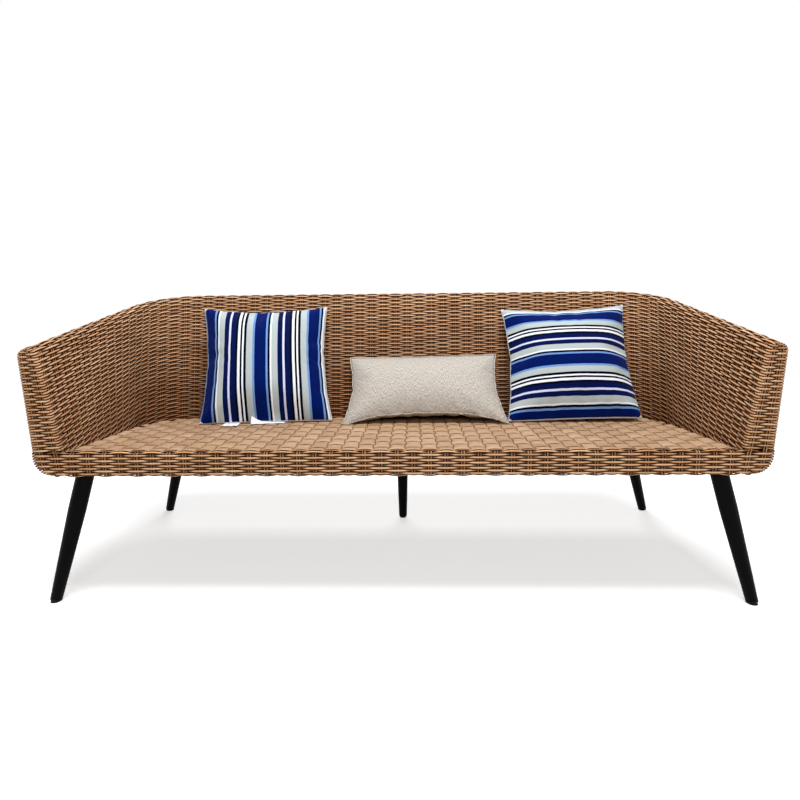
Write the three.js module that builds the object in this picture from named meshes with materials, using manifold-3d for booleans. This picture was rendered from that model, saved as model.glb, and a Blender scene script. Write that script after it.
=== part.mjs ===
// Rattan garden sofa: woven resin cane over a welded tube frame, five tapered legs and three
// loose scatter cushions. Millimetres, +X to the right as seen from the front, +Y to the rear,
// +Z up. The origin is on the floor under the middle of the whole sofa.
import * as THREE from 'three';
import { mergeVertices } from 'three/addons/utils/BufferGeometryUtils.js';
import Module from 'manifold-3d';

const wasm = await Module();
wasm.setup();

// Overall body
const bodyWidth = 2000;          // across the tips of the arms
const bodyDepth = 780;           // front face of the apron to the rear face of the back
const backHeight = 880;          // floor to the crest of the back
const armTipHeight = 712;        // floor to the crest at the front end of an arm
const deckHeight = 432;          // floor to the top of the woven seat

// Walls that make the arms, corners and back
const wallTopWidth = 50;         // thickness at the shoulder, just under the crest
const armFootWidth = 83;         // thickness of an arm at seat level
const backFootWidth = 255;       // thickness of the back at seat level, to its rearmost face
const outerLean = 13;            // how far the outer skin draws in towards its foot
const armDrift = 18;             // how far an arm closes in from front to rear
const innerFootDrift = 26;       // the same for the foot of its inner skin
const crestRise = 22;            // height of the rounded crest above the shoulders
const outerCornerRadius = 208;   // plan radius of the rear corners, outside
const innerCornerRadius = 150;   // plan radius of the rear corners at the seat
const bottomRound = 50;          // round along the bottom edge of the outer skin
const frontRound = 12;           // round along the front edge of an arm
const apronRound = 9;            // round along the long edges of the apron

// Woven skins
const weaveThickness = 7;
const deckThickness = 8;
const apronTopLap = 22;          // the apron folds back over the front rail
const apronBottomLap = 62;       // and under it
const gap = 0.3;                 // between neighbouring pieces
const cutOverrun = 30;           // how far a cutting body runs past what it cuts
const endOverrun = 150;          // and a hollow past the slanting end of a wall
const plateClearance = 1.5;      // weave trimmed back around a mounting plate

// Tubes
const railDiameter = 25;
const hoopDiameter = 22;
const postDiameter = 16;
const tubeWall = 1.5;
const crossBarCount = 5;
const postFromFront = 290;       // front face to the post half way along an arm

// Legs
const legTopDiameter = 46;
const legFootDiameter = 31;
const legWall = 2;
const legStraightShare = 0.29;   // upper share of the leg that keeps its full diameter
const frontLegSplayX = 95;       // sideways run from the top of a leg to its foot
const frontLegSplayY = 44;       // fore and aft run
const rearLegSplayX = 129;
const rearLegSplayY = 94;
const frontLegInsetX = 112;      // outer foot line to the middle of a leg's top
const frontLegInsetY = 50;       // front face to the middle of a leg's top
const rearLegInsetX = 136;
const rearLegInsetY = 104;       // rear foot line to the middle of a leg's top
const middleLegInset = 92;       // rear foot line to the middle leg
const legPlugLength = 46;        // solid end inside the top of a leg, tapped for its stud
const studDiameter = 10;
const studReach = 28;            // how far the stud goes down into the leg
const plateDiameter = 70;        // round mounting plates that the legs screw up to
const glideHeight = 10;
const glideStem = 18;
const glideRound = 3;

// Loose cushions, chosen to suit the length of the seat: 45 cm squares and a 53 by 31 cm
// lumbar cushion. Widths and places are shares of the seat's width, the rest of the cushion's.
const squareCushion = {
  widthShare: 0.2563, heightShare: 1, thicknessShare: 0.347, drawInShare: 0.0356,
};
const lumbarCushion = {
  widthShare: 0.3018, heightShare: 0.577, thicknessShare: 0.234, drawInShare: 0.0245,
};
const seamShare = 0.01;          // thickness left at the seam
const leftPlace = { xShare: -0.2591, skewShare: -0.0251, leanDegrees: 30, yawDegrees: 8 };
const middlePlace = { xShare: 0.0467, skewShare: 0, leanDegrees: 47, yawDegrees: 2 };
const rightPlace = { xShare: 0.3331, skewShare: 0.0034, leanDegrees: 30, yawDegrees: 5.5 };

// Facets
const tubeSides = 12;
const legSides = 24;
const studSides = 12;
const cornerSteps = 8;
const roundSteps = 4;
const crestSteps = 6;
const cushionCells = 20;

// The feet reach a little ahead of the body, and the origin halves the whole depth
const frontOverhang = Math.max(0, frontLegSplayY + legFootDiameter / 2 - frontLegInsetY);
const frontY = (frontOverhang - bodyDepth) / 2;
const rearY = frontY + bodyDepth;

// Heights worked out from what lies on what
const railRadius = railDiameter / 2;
const hoopRadius = hoopDiameter / 2;
const seatRailZ = deckHeight - deckThickness - gap - railRadius;
const baseRailZ = seatRailZ - railDiameter - gap;
const bottomZ = baseRailZ - railRadius - gap - weaveThickness;
const plateThickness = weaveThickness;
const wallFootZ = deckHeight + gap;

const finishes = {
  cane: { color: 0xb98a5e, roughness: 0.62, metalness: 0 },
  deck: { color: 0xc79f74, roughness: 0.6, metalness: 0 },
  frame: { color: 0x4b3a2b, roughness: 0.55, metalness: 0.5 },
  leg: { color: 0x15161a, roughness: 0.42, metalness: 0.35 },
  steel: { color: 0x8d9095, roughness: 0.35, metalness: 0.9 },
  glide: { color: 0x101012, roughness: 0.6, metalness: 0 },
  stripes: { color: 0x1f3fae, roughness: 0.85, metalness: 0 },
  linen: { color: 0xb9aca0, roughness: 0.9, metalness: 0 },
};

const sides = [['left', -1], ['right', 1]];
const thirds = ['left', 'middle', 'right'];

const sofa = new THREE.Group();
const materials = Object.fromEntries(
  Object.entries(finishes).map(([name, look]) => [name, new THREE.MeshStandardMaterial(look)]),
);

function addMesh(name, geometry, finish, parent = sofa) {
  const mesh = new THREE.Mesh(geometry, materials[finish]);
  mesh.name = name;
  parent.add(mesh);
  return mesh;
}

// Closed bodies from rings of points, and cuts in them

function signedVolume(points, faces) {
  const cross = new THREE.Vector3();
  return faces.reduce((sum, [a, b, c]) => (
    sum + points[a].dot(cross.crossVectors(points[b], points[c])) / 6
  ), 0);
}

function closedGeometry(points, faces) {
  const ordered = signedVolume(points, faces) < 0 ? faces.map(([a, b, c]) => [a, c, b]) : faces;
  const geometry = new THREE.BufferGeometry();
  geometry.setAttribute('position', new THREE.Float32BufferAttribute(
    points.flatMap((p) => [p.x, p.y, p.z]), 3));
  geometry.setIndex(ordered.flat());
  geometry.computeVertexNormals();
  return geometry;
}

// Skin over a row of rings with the same number of points, with a flat fan over each end
function loft(rings) {
  const count = rings[0].length;
  const faces = [];
  for (let i = 0; i + 1 < rings.length; i += 1) {
    for (let j = 0; j < count; j += 1) {
      const a = i * count + j;
      const b = i * count + ((j + 1) % count);
      faces.push([a, b, b + count], [a, b + count, a + count]);
    }
  }
  const last = (rings.length - 1) * count;
  for (let j = 1; j + 1 < count; j += 1) {
    faces.push([0, j + 1, j], [last, last + j, last + j + 1]);
  }
  return closedGeometry(rings.flat(), faces);
}

function toSolid(geometry) {
  const bare = geometry.clone();
  bare.deleteAttribute('normal');
  bare.deleteAttribute('uv');
  const merged = mergeVertices(bare);
  return new wasm.Manifold(new wasm.Mesh({
    numProp: 3,
    vertProperties: new Float32Array(merged.attributes.position.array),
    triVerts: new Uint32Array(merged.index.array),
  }));
}

function toGeometry(solid) {
  const mesh = solid.getMesh();
  const geometry = new THREE.BufferGeometry();
  geometry.setAttribute('position', new THREE.Float32BufferAttribute(mesh.vertProperties, 3));
  geometry.setIndex(Array.from(mesh.triVerts));
  geometry.computeVertexNormals();
  return geometry;
}

function cut(geometry, cutters) {
  return toGeometry(cutters.reduce((solid, c) => solid.subtract(toSolid(c)), toSolid(geometry)));
}

function boxBetween(low, high) {
  const size = new THREE.Vector3().subVectors(high, low);
  const box = new THREE.BoxGeometry(size.x, size.y, size.z);
  return box.translate((low.x + high.x) / 2, (low.y + high.y) / 2, (low.z + high.z) / 2);
}

// Tube with an open bore along a row of points, mitred at each bend
function pipe(points, radius, wall) {
  const rings = [radius, radius - wall].map((r) => points.map((point, i) => {
    const before = points[Math.max(i - 1, 0)];
    const after = points[Math.min(i + 1, points.length - 1)];
    const tangent = new THREE.Vector3().subVectors(after, before).normalize();
    const steep = Math.abs(tangent.z) > Math.abs(tangent.x) + Math.abs(tangent.y);
    const reference = steep ? new THREE.Vector3(1, 0, 0) : new THREE.Vector3(0, 0, 1);
    const side = new THREE.Vector3().crossVectors(tangent, reference).normalize();
    const up = new THREE.Vector3().crossVectors(side, tangent);
    return Array.from({ length: tubeSides }, (_, k) => {
      const angle = (2 * Math.PI * (k + 1 / 2)) / tubeSides;
      return point.clone().addScaledVector(side, r * Math.cos(angle))
        .addScaledVector(up, r * Math.sin(angle));
    });
  }));
  const all = [...rings[0], ...rings[1]].flat();
  const inner = points.length * tubeSides;
  const last = (points.length - 1) * tubeSides;
  const faces = [];
  for (let j = 0; j < tubeSides; j += 1) {
    const next = (j + 1) % tubeSides;
    for (let i = 0; i < last; i += tubeSides) {
      const [a, b] = [i + j, i + next];
      faces.push([a, b, b + tubeSides], [a, b + tubeSides, a + tubeSides]);
      faces.push([inner + a, inner + b + tubeSides, inner + b]);
      faces.push([inner + a, inner + a + tubeSides, inner + b + tubeSides]);
    }
    faces.push([j, inner + j, inner + next], [j, inner + next, next]);
    faces.push([last + j, inner + last + next, inner + last + j]);
    faces.push([last + j, last + next, inner + last + next]);
  }
  return closedGeometry(all, faces);
}

// Upright tube from a rail's centre line to the hoop's, stopped short of both. Its ends are
// square, so it stays further off where the hoop rises or where it leans along the rail.
function post(from, to, radius, hoopRise = 0, footLean = 0) {
  const along = new THREE.Vector3().subVectors(to, from).normalize();
  const headroom = hoopRadius * Math.hypot(1, hoopRise) + radius * hoopRise + gap;
  const start = from.clone().addScaledVector(along, railRadius + radius * footLean + gap);
  const end = to.clone().addScaledVector(along, -headroom);
  return pipe([start, end], radius, tubeWall);
}

// Plan lines of the walls. Each runs back along an arm, round a rear corner of its own radius
// and across the back, and is given for the +X half.

const outerTopLine = {
  front: bodyWidth / 2, rear: bodyWidth / 2 - armDrift, back: rearY, radius: outerCornerRadius,
};
const innerTopLine = {
  front: outerTopLine.front - wallTopWidth,
  rear: outerTopLine.rear - wallTopWidth,
  back: rearY - wallTopWidth,
  radius: outerCornerRadius - wallTopWidth,
};
const outerFootLine = {
  front: outerTopLine.front - outerLean,
  rear: outerTopLine.rear - outerLean,
  back: rearY - outerLean,
  radius: outerCornerRadius - outerLean,
};
const innerFootLine = {
  front: outerFootLine.front - armFootWidth,
  rear: outerFootLine.front - armFootWidth - innerFootDrift,
  back: rearY - backFootWidth,
  radius: innerCornerRadius,
};

function shrunkLine(line, inset) {
  return {
    front: line.front - inset,
    rear: line.rear - inset,
    back: line.back - inset,
    radius: line.radius - inset,
  };
}

function cornerOf(line) {
  const drift = Math.atan2(line.front - line.rear, line.back - frontY);
  const sweep = Math.PI / 2 - drift;
  const reach = line.radius * Math.tan(sweep / 2);
  const start = new THREE.Vector2(
    line.rear + reach * Math.sin(drift), line.back - reach * Math.cos(drift));
  const centre = new THREE.Vector2(line.rear - reach, line.back - line.radius);
  return { drift, start, centre, sweep };
}

// A point on a plan line: share 0 to 1 of its arm, corner or back stretch
function planPoint(line, stretch, share) {
  const corner = cornerOf(line);
  if (stretch === 'arm') {
    return new THREE.Vector2(line.front, frontY).lerp(corner.start, share);
  }
  if (stretch === 'corner') {
    const angle = corner.drift + corner.sweep * share;
    return new THREE.Vector2(Math.cos(angle), Math.sin(angle))
      .multiplyScalar(line.radius).add(corner.centre);
  }
  return new THREE.Vector2(corner.centre.x * (1 - 2 * share), line.back);
}

function armPoint(line, y) {
  return planPoint(line, 'arm', (y - frontY) / (cornerOf(line).start.y - frontY));
}

// A point of a wall's plan line, or of its arm stretch where y is given
function wallPoint(line, { stretch, share, side, y }, z) {
  const p = y === undefined ? planPoint(line, stretch, share) : armPoint(line, y);
  return new THREE.Vector3(p.x * side, p.y, z);
}

const crestLine = shrunkLine(outerTopLine, wallTopWidth / 2);
const crestSlope = (backHeight - armTipHeight) / (crestLine.back - frontY);

// Outline of a wall where it stands at one station, a place along its stretch. The skin draws
// it in all round, and the edge draws in only what shows from in front.
function wallRing(station, skin = 0, edge = 0) {
  const inset = skin + edge;
  const crest = armTipHeight + (wallPoint(crestLine, station, 0).y - frontY) * crestSlope;
  const shoulder = crest - crestRise;
  const [halfWidth, rise] = [wallTopWidth / 2 - inset, crestRise - inset];
  const foot = wallPoint(innerFootLine, station, wallFootZ);
  const head = wallPoint(innerTopLine, station, shoulder);
  const outward = station.stretch === 'arm' ? 0 : (Math.PI / 2)
    * (station.stretch === 'corner' ? station.share : 1);
  const lean = ((head.x - foot.x) * station.side * Math.cos(outward)
    + (head.y - foot.y) * Math.sin(outward)) / (shoulder - wallFootZ);
  const firstAngle = Math.atan((rise / halfWidth) * lean);
  const ring = [
    wallPoint(shrunkLine(innerFootLine, -skin), station, bottomZ + skin),
    wallPoint(shrunkLine(innerFootLine, -skin), station, wallFootZ),
  ];
  for (let i = 0; i <= crestSteps; i += 1) {
    const angle = THREE.MathUtils.lerp(firstAngle, Math.PI, i / crestSteps);
    const z = shoulder + rise * Math.sin(angle);
    ring.push(wallPoint(shrunkLine(innerTopLine, -inset), station, z)
      .lerp(wallPoint(shrunkLine(outerTopLine, inset), station, z), (1 - Math.cos(angle)) / 2));
  }
  for (let i = 0; i <= roundSteps; i += 1) {
    const angle = (Math.PI / 2) * (i / roundSteps);
    const run = bottomRound - (bottomRound - inset) * Math.cos(angle);
    ring.push(wallPoint(shrunkLine(outerFootLine, run), station,
      bottomZ + bottomRound - (bottomRound - inset) * Math.sin(angle)));
  }
  return ring;
}

// The open side of a wall under the seat, where the deck and its rails pass in
function seatSlotRing(station) {
  const near = shrunkLine(innerFootLine, cutOverrun);
  const far = shrunkLine(innerFootLine, -2 * weaveThickness);
  return [
    wallPoint(near, station, bottomZ + weaveThickness),
    wallPoint(near, station, wallFootZ),
    wallPoint(far, station, wallFootZ),
    wallPoint(far, station, bottomZ + weaveThickness),
  ];
}

function pushOut(ring, neighbour, distance) {
  return ring.map((point, i) => {
    const away = new THREE.Vector3().subVectors(point, neighbour[i]);
    away.z = 0;
    return point.clone().addScaledVector(away.normalize(), distance);
  });
}

function openEnds(rings, atStart, atEnd) {
  const all = [...rings];
  if (atEnd) {
    all.push(pushOut(rings.at(-1), rings.at(-2), endOverrun));
  }
  if (atStart) {
    all.unshift(pushOut(rings[0], rings[1], endOverrun));
  }
  return all;
}

// Legs stand near the corners and under the middle of the back
const legPlaces = [];
for (const [endName, insetX, y, splayX, run] of [
  ['front', frontLegInsetX, frontY + frontLegInsetY, frontLegSplayX, -frontLegSplayY],
  ['rear', rearLegInsetX, outerFootLine.back - rearLegInsetY, rearLegSplayX, rearLegSplayY],
]) {
  for (const [sideName, side] of sides) {
    const x = outerFootLine.front - insetX;
    legPlaces.push({
      name: `${endName}_${sideName}`,
      top: new THREE.Vector3(side * x, y, bottomZ - gap),
      foot: new THREE.Vector3(side * (x + splayX), y + run, 0),
    });
  }
}
const middleLegY = outerFootLine.back - middleLegInset;
legPlaces.push({
  name: 'middle',
  top: new THREE.Vector3(0, middleLegY, bottomZ - gap),
  foot: new THREE.Vector3(0, middleLegY, 0),
});

function uprightRod({ top }, radius, low, high, segments) {
  return new THREE.CylinderGeometry(radius, radius, high - low, segments)
    .rotateX(Math.PI / 2).translate(top.x, top.y, (low + high) / 2);
}

// The weave is trimmed out around the mounting plates
const baseLine = shrunkLine(outerFootLine, bottomRound);
const plateTopZ = bottomZ + plateThickness;
const plateCutters = legPlaces.map((place) => uprightRod(
  place, plateDiameter / 2 + plateClearance, bottomZ - cutOverrun, plateTopZ + gap, legSides));

// Woven walls: each is the outer body less its hollow, its slot under the seat and the plates
function wovenWall(name, outer, stations, openAtStart) {
  addMesh(name, cut(loft(outer), [
    loft(openEnds(stations.map((s) => wallRing(s, weaveThickness)), openAtStart, true)),
    loft(openEnds(stations.map(seatSlotRing), openAtStart, true)),
    ...plateCutters,
  ]), 'cane');
}

function shares(steps, low, high) {
  return Array.from({ length: steps + 1 }, (_, i) => low + ((high - low) * i) / steps);
}

const armLength = cornerOf(outerTopLine).start.y - frontY;
const cornerLength = innerCornerRadius * (Math.PI / 2);

for (const [sideName, side] of sides) {
  const rounded = shares(roundSteps, Math.PI / 2, 0).map((angle) => wallRing(
    { stretch: 'arm', side, y: frontY + frontRound * (1 - Math.sin(angle)) },
    0, frontRound * (1 - Math.cos(angle))));
  const armStations = shares(2, 0, 1 - gap / armLength).slice(1)
    .map((share) => ({ stretch: 'arm', share, side }));
  wovenWall(`wicker_arm_${sideName}`,
    [...rounded, ...armStations.map((s) => wallRing(s))],
    [{ stretch: 'arm', side, y: frontY + weaveThickness }, ...armStations], false);

  const cornerStations = shares(cornerSteps, gap / cornerLength, 1 - gap / cornerLength)
    .map((share) => ({ stretch: 'corner', share, side }));
  wovenWall(`wicker_corner_${sideName}`,
    cornerStations.map((s) => wallRing(s)), cornerStations, true);
}

const backStations = [0, 1].map((share) => ({ stretch: 'back', share, side: 1 }));
wovenWall('wicker_back', backStations.map((s) => wallRing(s)), backStations, true);

// Apron: a folded strip over, in front of and under the front rails, its ends cut to the arms
function apronOutline() {
  const top = deckHeight;
  const shape = new THREE.Shape();
  const [r, t] = [apronRound, weaveThickness];
  const inner = Math.max(r - t, gap);
  shape.moveTo(apronTopLap, top);
  shape.lineTo(r, top);
  shape.absarc(r, top - r, r, Math.PI / 2, Math.PI, false);
  shape.lineTo(0, bottomZ + r);
  shape.absarc(r, bottomZ + r, r, Math.PI, 1.5 * Math.PI, false);
  shape.lineTo(apronBottomLap, bottomZ);
  shape.lineTo(apronBottomLap, bottomZ + t);
  shape.lineTo(t + inner, bottomZ + t);
  shape.absarc(t + inner, bottomZ + t + inner, inner, 1.5 * Math.PI, Math.PI, true);
  shape.lineTo(t, top - deckThickness - inner);
  shape.absarc(t + inner, top - deckThickness - inner, inner, Math.PI, Math.PI / 2, true);
  shape.lineTo(apronTopLap, top - deckThickness);
  return shape;
}

const apronBody = new THREE.ExtrudeGeometry(apronOutline(), {
  depth: 2 * innerFootLine.front, bevelEnabled: false, curveSegments: roundSteps,
});
apronBody.applyMatrix4(new THREE.Matrix4().makeBasis(
  new THREE.Vector3(0, 1, 0), new THREE.Vector3(0, 0, 1), new THREE.Vector3(1, 0, 0)));
apronBody.translate(-innerFootLine.front, frontY, 0);
const apronPlace = apronBody.attributes.position;
for (let i = 0; i < apronPlace.count; i += 1) {
  const end = armPoint(innerFootLine, apronPlace.getY(i)).x - gap;
  apronPlace.setX(i, Math.sign(apronPlace.getX(i)) * end);
}
addMesh('wicker_front_apron', cut(apronBody, plateCutters), 'cane');

// Seat deck: a woven panel whose edges run under the foot of the walls
function deckOutline() {
  const edge = shrunkLine(innerFootLine, -weaveThickness);
  const half = [
    armPoint(edge, frontY + apronTopLap + gap),
    ...shares(cornerSteps, 0, 1).map((s) => planPoint(edge, 'corner', s)),
  ];
  const mirrored = half.map((p) => new THREE.Vector2(-p.x, p.y)).reverse();
  return new THREE.Shape([...half, ...mirrored]);
}

const deckBody = new THREE.ExtrudeGeometry(deckOutline(), {
  depth: deckThickness, bevelEnabled: false,
});
addMesh('wicker_seat_deck', deckBody.translate(0, 0, deckHeight - deckThickness), 'deck');

// Frame: two storeys of rails under the seat, a hoop inside the crest and posts between
const frontRailY = frontY + weaveThickness + gap + railRadius;
const postRadius = postDiameter / 2;
const backRailY = innerFootLine.back + weaveThickness + postRadius / 2;
const frontPostX = baseLine.front - hoopRadius;

function level(x, y, z) {
  return new THREE.Vector3(x, y, z);
}

function straightTube(name, from, to, radius) {
  addMesh(name, pipe([from, to], radius, tubeWall), 'frame');
}

const seatRailEnd = frontPostX - hoopRadius - gap;
straightTube('seat_front_rail', level(-seatRailEnd, frontRailY, seatRailZ),
  level(seatRailEnd, frontRailY, seatRailZ), railRadius);
straightTube('base_front_rail', level(-baseLine.front, frontRailY, baseRailZ),
  level(baseLine.front, frontRailY, baseRailZ), railRadius);

const railEndX = innerFootLine.rear;
straightTube('seat_rear_rail', level(-railEndX - railRadius, backRailY, seatRailZ),
  level(railEndX + railRadius, backRailY, seatRailZ), railRadius);
for (const [sideName, side] of sides) {
  straightTube(`seat_side_rail_${sideName}`,
    level(side * innerFootLine.front, frontRailY + railRadius + gap, seatRailZ),
    level(side * innerFootLine.rear, backRailY - railRadius - gap, seatRailZ), railRadius);
}

// Places that divide the width of the seat evenly
function evenly(count) {
  const reach = innerFootLine.rear - railRadius;
  return Array.from({ length: count }, (_, i) => reach * ((2 * (i + 1)) / (count + 1) - 1));
}

for (const [i, x] of evenly(crossBarCount).entries()) {
  straightTube(`seat_cross_bar_${i + 1}`,
    level(x, frontRailY + railRadius + gap, seatRailZ),
    level(x, backRailY - railRadius - gap, seatRailZ), railRadius);
}

// The base tube is bent into a U: along one side, round the back and along the other
function bentPath(line, z, startY) {
  const half = [
    armPoint(line, startY),
    ...shares(cornerSteps, 0, 1).map((s) => planPoint(line, 'corner', s)),
  ].map((p) => level(p.x, p.y, z(p)));
  return [...half, ...half.map((p) => level(-p.x, p.y, p.z)).reverse()];
}

const baseStartY = frontRailY + railRadius + gap;
addMesh('base_bent_rail', pipe(bentPath(baseLine, () => baseRailZ, baseStartY),
  railRadius, tubeWall), 'frame');
for (const [i, x] of evenly(thirds.length).entries()) {
  straightTube(`base_cross_tube_${thirds[i]}`, level(x, baseStartY, baseRailZ),
    level(x, baseLine.back - railRadius - gap, baseRailZ), railRadius);
}

const hoopDrop = weaveThickness + 2 * gap + hoopRadius * Math.hypot(1, crestSlope);
function hoopZ(point) {
  return armTipHeight + (point.y - frontY) * crestSlope - hoopDrop;
}
const hoopStartY = frontY + weaveThickness + gap + hoopRadius * crestSlope;
addMesh('top_hoop', pipe(bentPath(crestLine, hoopZ, hoopStartY), hoopRadius, tubeWall), 'frame');

function onHoop(point, side) {
  return level(side * point.x, point.y, hoopZ(point));
}

for (const [sideName, side] of sides) {
  const foot = level(side * frontPostX, frontRailY, baseRailZ);
  const head = onHoop(armPoint(crestLine, frontRailY), side);
  const lean = Math.abs(head.x - foot.x) / (head.z - foot.z);
  addMesh(`arm_front_post_${sideName}`,
    post(foot, head, hoopRadius, crestSlope, lean), 'frame');

  const armY = frontY + postFromFront;
  const armFoot = armPoint(baseLine, armY);
  addMesh(`arm_post_${sideName}`, post(level(side * armFoot.x, armY, baseRailZ),
    onHoop(armPoint(crestLine, armY), side), postRadius, crestSlope), 'frame');

  const cornerFoot = planPoint(baseLine, 'corner', 1 / 2);
  addMesh(`corner_post_${sideName}`, post(level(side * cornerFoot.x, cornerFoot.y, baseRailZ),
    onHoop(planPoint(crestLine, 'corner', 1 / 2), side), postRadius, crestSlope), 'frame');
}

for (const [i, x] of evenly(sides.length).entries()) {
  addMesh(`back_outer_post_${sides[i][0]}`, post(level(x, baseLine.back, baseRailZ),
    level(x, crestLine.back, backHeight - hoopDrop), postRadius), 'frame');
}
for (const [i, x] of evenly(thirds.length).entries()) {
  addMesh(`back_inner_post_${thirds[i]}`, post(level(x, backRailY, seatRailZ),
    level(x, crestLine.back, backHeight - hoopDrop), postRadius), 'frame');
}

// Legs: a tapered tube with a solid top, held to its mounting plate by a threaded stud
function lathe(profile, segments) {
  return new THREE.LatheGeometry(profile.map(([r, z]) => new THREE.Vector2(r, z)), segments)
    .rotateX(Math.PI / 2);
}

// Moves a body turned about +Z, with z counted up from the foot, onto the leg's own axis
function alongLeg(geometry, { top, foot }) {
  const axis = new THREE.Vector3().subVectors(top, foot).normalize();
  const turn = new THREE.Quaternion().setFromUnitVectors(new THREE.Vector3(0, 0, 1), axis);
  return geometry.applyQuaternion(turn).translate(foot.x, foot.y, foot.z);
}

const studFoot = bottomZ - gap - studReach;
const studHoleRadius = studDiameter / 2 + gap;

function legBody(place) {
  const length = place.top.distanceTo(place.foot);
  const [topR, footR] = [legTopDiameter / 2, legFootDiameter / 2];
  const taperTop = length * (1 - legStraightShare);
  const plugFoot = length - legPlugLength;
  const outside = lathe([[0, glideHeight], [footR, glideHeight], [topR, taperTop],
    [topR, length + cutOverrun], [0, length + cutOverrun]], legSides);
  const inside = lathe([[0, 0], [footR - legWall, 0], [footR - legWall, glideHeight],
    [topR - legWall, taperTop], [topR - legWall, plugFoot], [0, plugFoot]], legSides);
  const roof = boxBetween(
    level(place.top.x - legTopDiameter, place.top.y - legTopDiameter, place.top.z),
    level(place.top.x + legTopDiameter, place.top.y + legTopDiameter,
      place.top.z + 2 * cutOverrun));
  return cut(alongLeg(outside, place), [alongLeg(inside, place), roof,
    uprightRod(place, studHoleRadius, studFoot - gap, place.top.z + cutOverrun, studSides)]);
}

function glideBody(place) {
  const boreR = legFootDiameter / 2 - legWall - gap;
  const outR = legFootDiameter / 2;
  const topZ = glideHeight - gap;
  const tip = -legFootDiameter;
  const body = lathe([[0, tip], [outR - glideRound, tip], [outR - glideRound, glideRound],
    [outR, 2 * glideRound], [outR, topZ], [boreR, topZ],
    [boreR, topZ + glideStem], [0, topZ + glideStem]], legSides);
  const floor = boxBetween(
    level(place.foot.x - 2 * legFootDiameter, place.foot.y - 2 * legFootDiameter,
      -3 * legFootDiameter),
    level(place.foot.x + 2 * legFootDiameter, place.foot.y + 2 * legFootDiameter, 0));
  return cut(alongLeg(body, place), [floor]);
}

for (const place of legPlaces) {
  const stud = uprightRod(place, studDiameter / 2, studFoot, plateTopZ, studSides);
  const studHole = uprightRod(
    place, studHoleRadius, bottomZ - cutOverrun, plateTopZ + cutOverrun, studSides);
  const plate = uprightRod(place, plateDiameter / 2, bottomZ, plateTopZ, legSides);
  addMesh(`leg_plate_${place.name}`, cut(plate, [studHole]), 'frame');
  addMesh(`leg_${place.name}`, legBody(place), 'leg');
  addMesh(`leg_stud_${place.name}`, stud, 'steel');
  addMesh(`leg_glide_${place.name}`, glideBody(place), 'glide');
}

const seatWidth = 2 * innerFootLine.rear;

// Cushions: two crowned faces meeting in a thin seam, with sides drawn in between the corners
function cushionBody(size, { skewShare, leanDegrees, yawDegrees }) {
  const width = seatWidth * size.widthShare;
  const height = width * size.heightShare;
  const thickness = width * size.thicknessShare;
  const drawIn = width * size.drawInShare;
  const edge = width * seamShare;
  const skew = seatWidth * skewShare;
  const rows = Math.round(cushionCells * size.heightShare);
  const faceAt = (u, v, front) => {
    const swell = Math.sqrt(Math.max(0, (1 - u ** 4) * (1 - v ** 4)));
    const x = u * (width / 2 - drawIn * (1 - v * v)) + (skew * (v + 1)) / 2;
    const z = v * (height / 2 - drawIn * (1 - u * u));
    const y = (edge + (thickness - edge) * swell) / 2;
    return new THREE.Vector3(x, front ? -y : y, z);
  };
  const points = [];
  const faces = [];
  for (const front of [true, false]) {
    for (let i = 0; i <= rows; i += 1) {
      for (let j = 0; j <= cushionCells; j += 1) {
        points.push(faceAt((2 * j) / cushionCells - 1, (2 * i) / rows - 1, front));
      }
    }
  }
  const stride = cushionCells + 1;
  const back = points.length / 2;
  for (let i = 0; i < rows; i += 1) {
    for (let j = 0; j < cushionCells; j += 1) {
      const a = i * stride + j;
      faces.push([a, a + 1, a + stride + 1], [a, a + stride + 1, a + stride]);
      const b = a + back;
      faces.push([b, b + stride + 1, b + 1], [b, b + stride, b + stride + 1]);
    }
  }
  const rim = [
    ...Array.from({ length: cushionCells }, (_, j) => j),
    ...Array.from({ length: rows }, (_, i) => i * stride + cushionCells),
    ...Array.from({ length: cushionCells }, (_, j) => rows * stride + cushionCells - j),
    ...Array.from({ length: rows }, (_, i) => (rows - i) * stride),
  ];
  rim.forEach((a, k) => {
    const b = rim[(k + 1) % rim.length];
    faces.push([a, a + back, b + back], [a, b + back, b]);
  });
  return closedGeometry(points, faces)
    .rotateX(THREE.MathUtils.degToRad(-leanDegrees))
    .rotateZ(THREE.MathUtils.degToRad(yawDegrees));
}

// Rests a cushion on the deck and slides it back until it touches the backrest
function settle(geometry, x) {
  geometry.computeBoundingBox();
  geometry.translate(x, 0, deckHeight + gap - geometry.boundingBox.min.z);
  const [, foot, top] = wallRing(backStations[0]);
  const slope = (top.y - foot.y) / (top.z - foot.z);
  const place = geometry.attributes.position;
  let room = Infinity;
  for (let i = 0; i < place.count; i += 1) {
    room = Math.min(room, foot.y + slope * (place.getZ(i) - foot.z) - place.getY(i));
  }
  return geometry.translate(0, room - 2 * gap, 0);
}

for (const [name, size, place, finish] of [
  ['cushion_left', squareCushion, leftPlace, 'stripes'],
  ['cushion_middle', lumbarCushion, middlePlace, 'linen'],
  ['cushion_right', squareCushion, rightPlace, 'stripes'],
]) {
  addMesh(name, settle(cushionBody(size, place), seatWidth * place.xShare), finish);
}

export default sofa;
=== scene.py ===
# %% [markdown]
# Rattan garden sofa
#
# This lesson dresses a three-seat garden sofa: resin cane woven over a tube frame, five tapered
# legs and three loose cushions. The tubes, plates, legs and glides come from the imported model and
# only get finishes here. The woven skins and the cushions are made new, because their look is in
# every strand and every fold.

import math

import bpy
import numpy as np
from mathutils import Matrix, Vector


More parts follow.
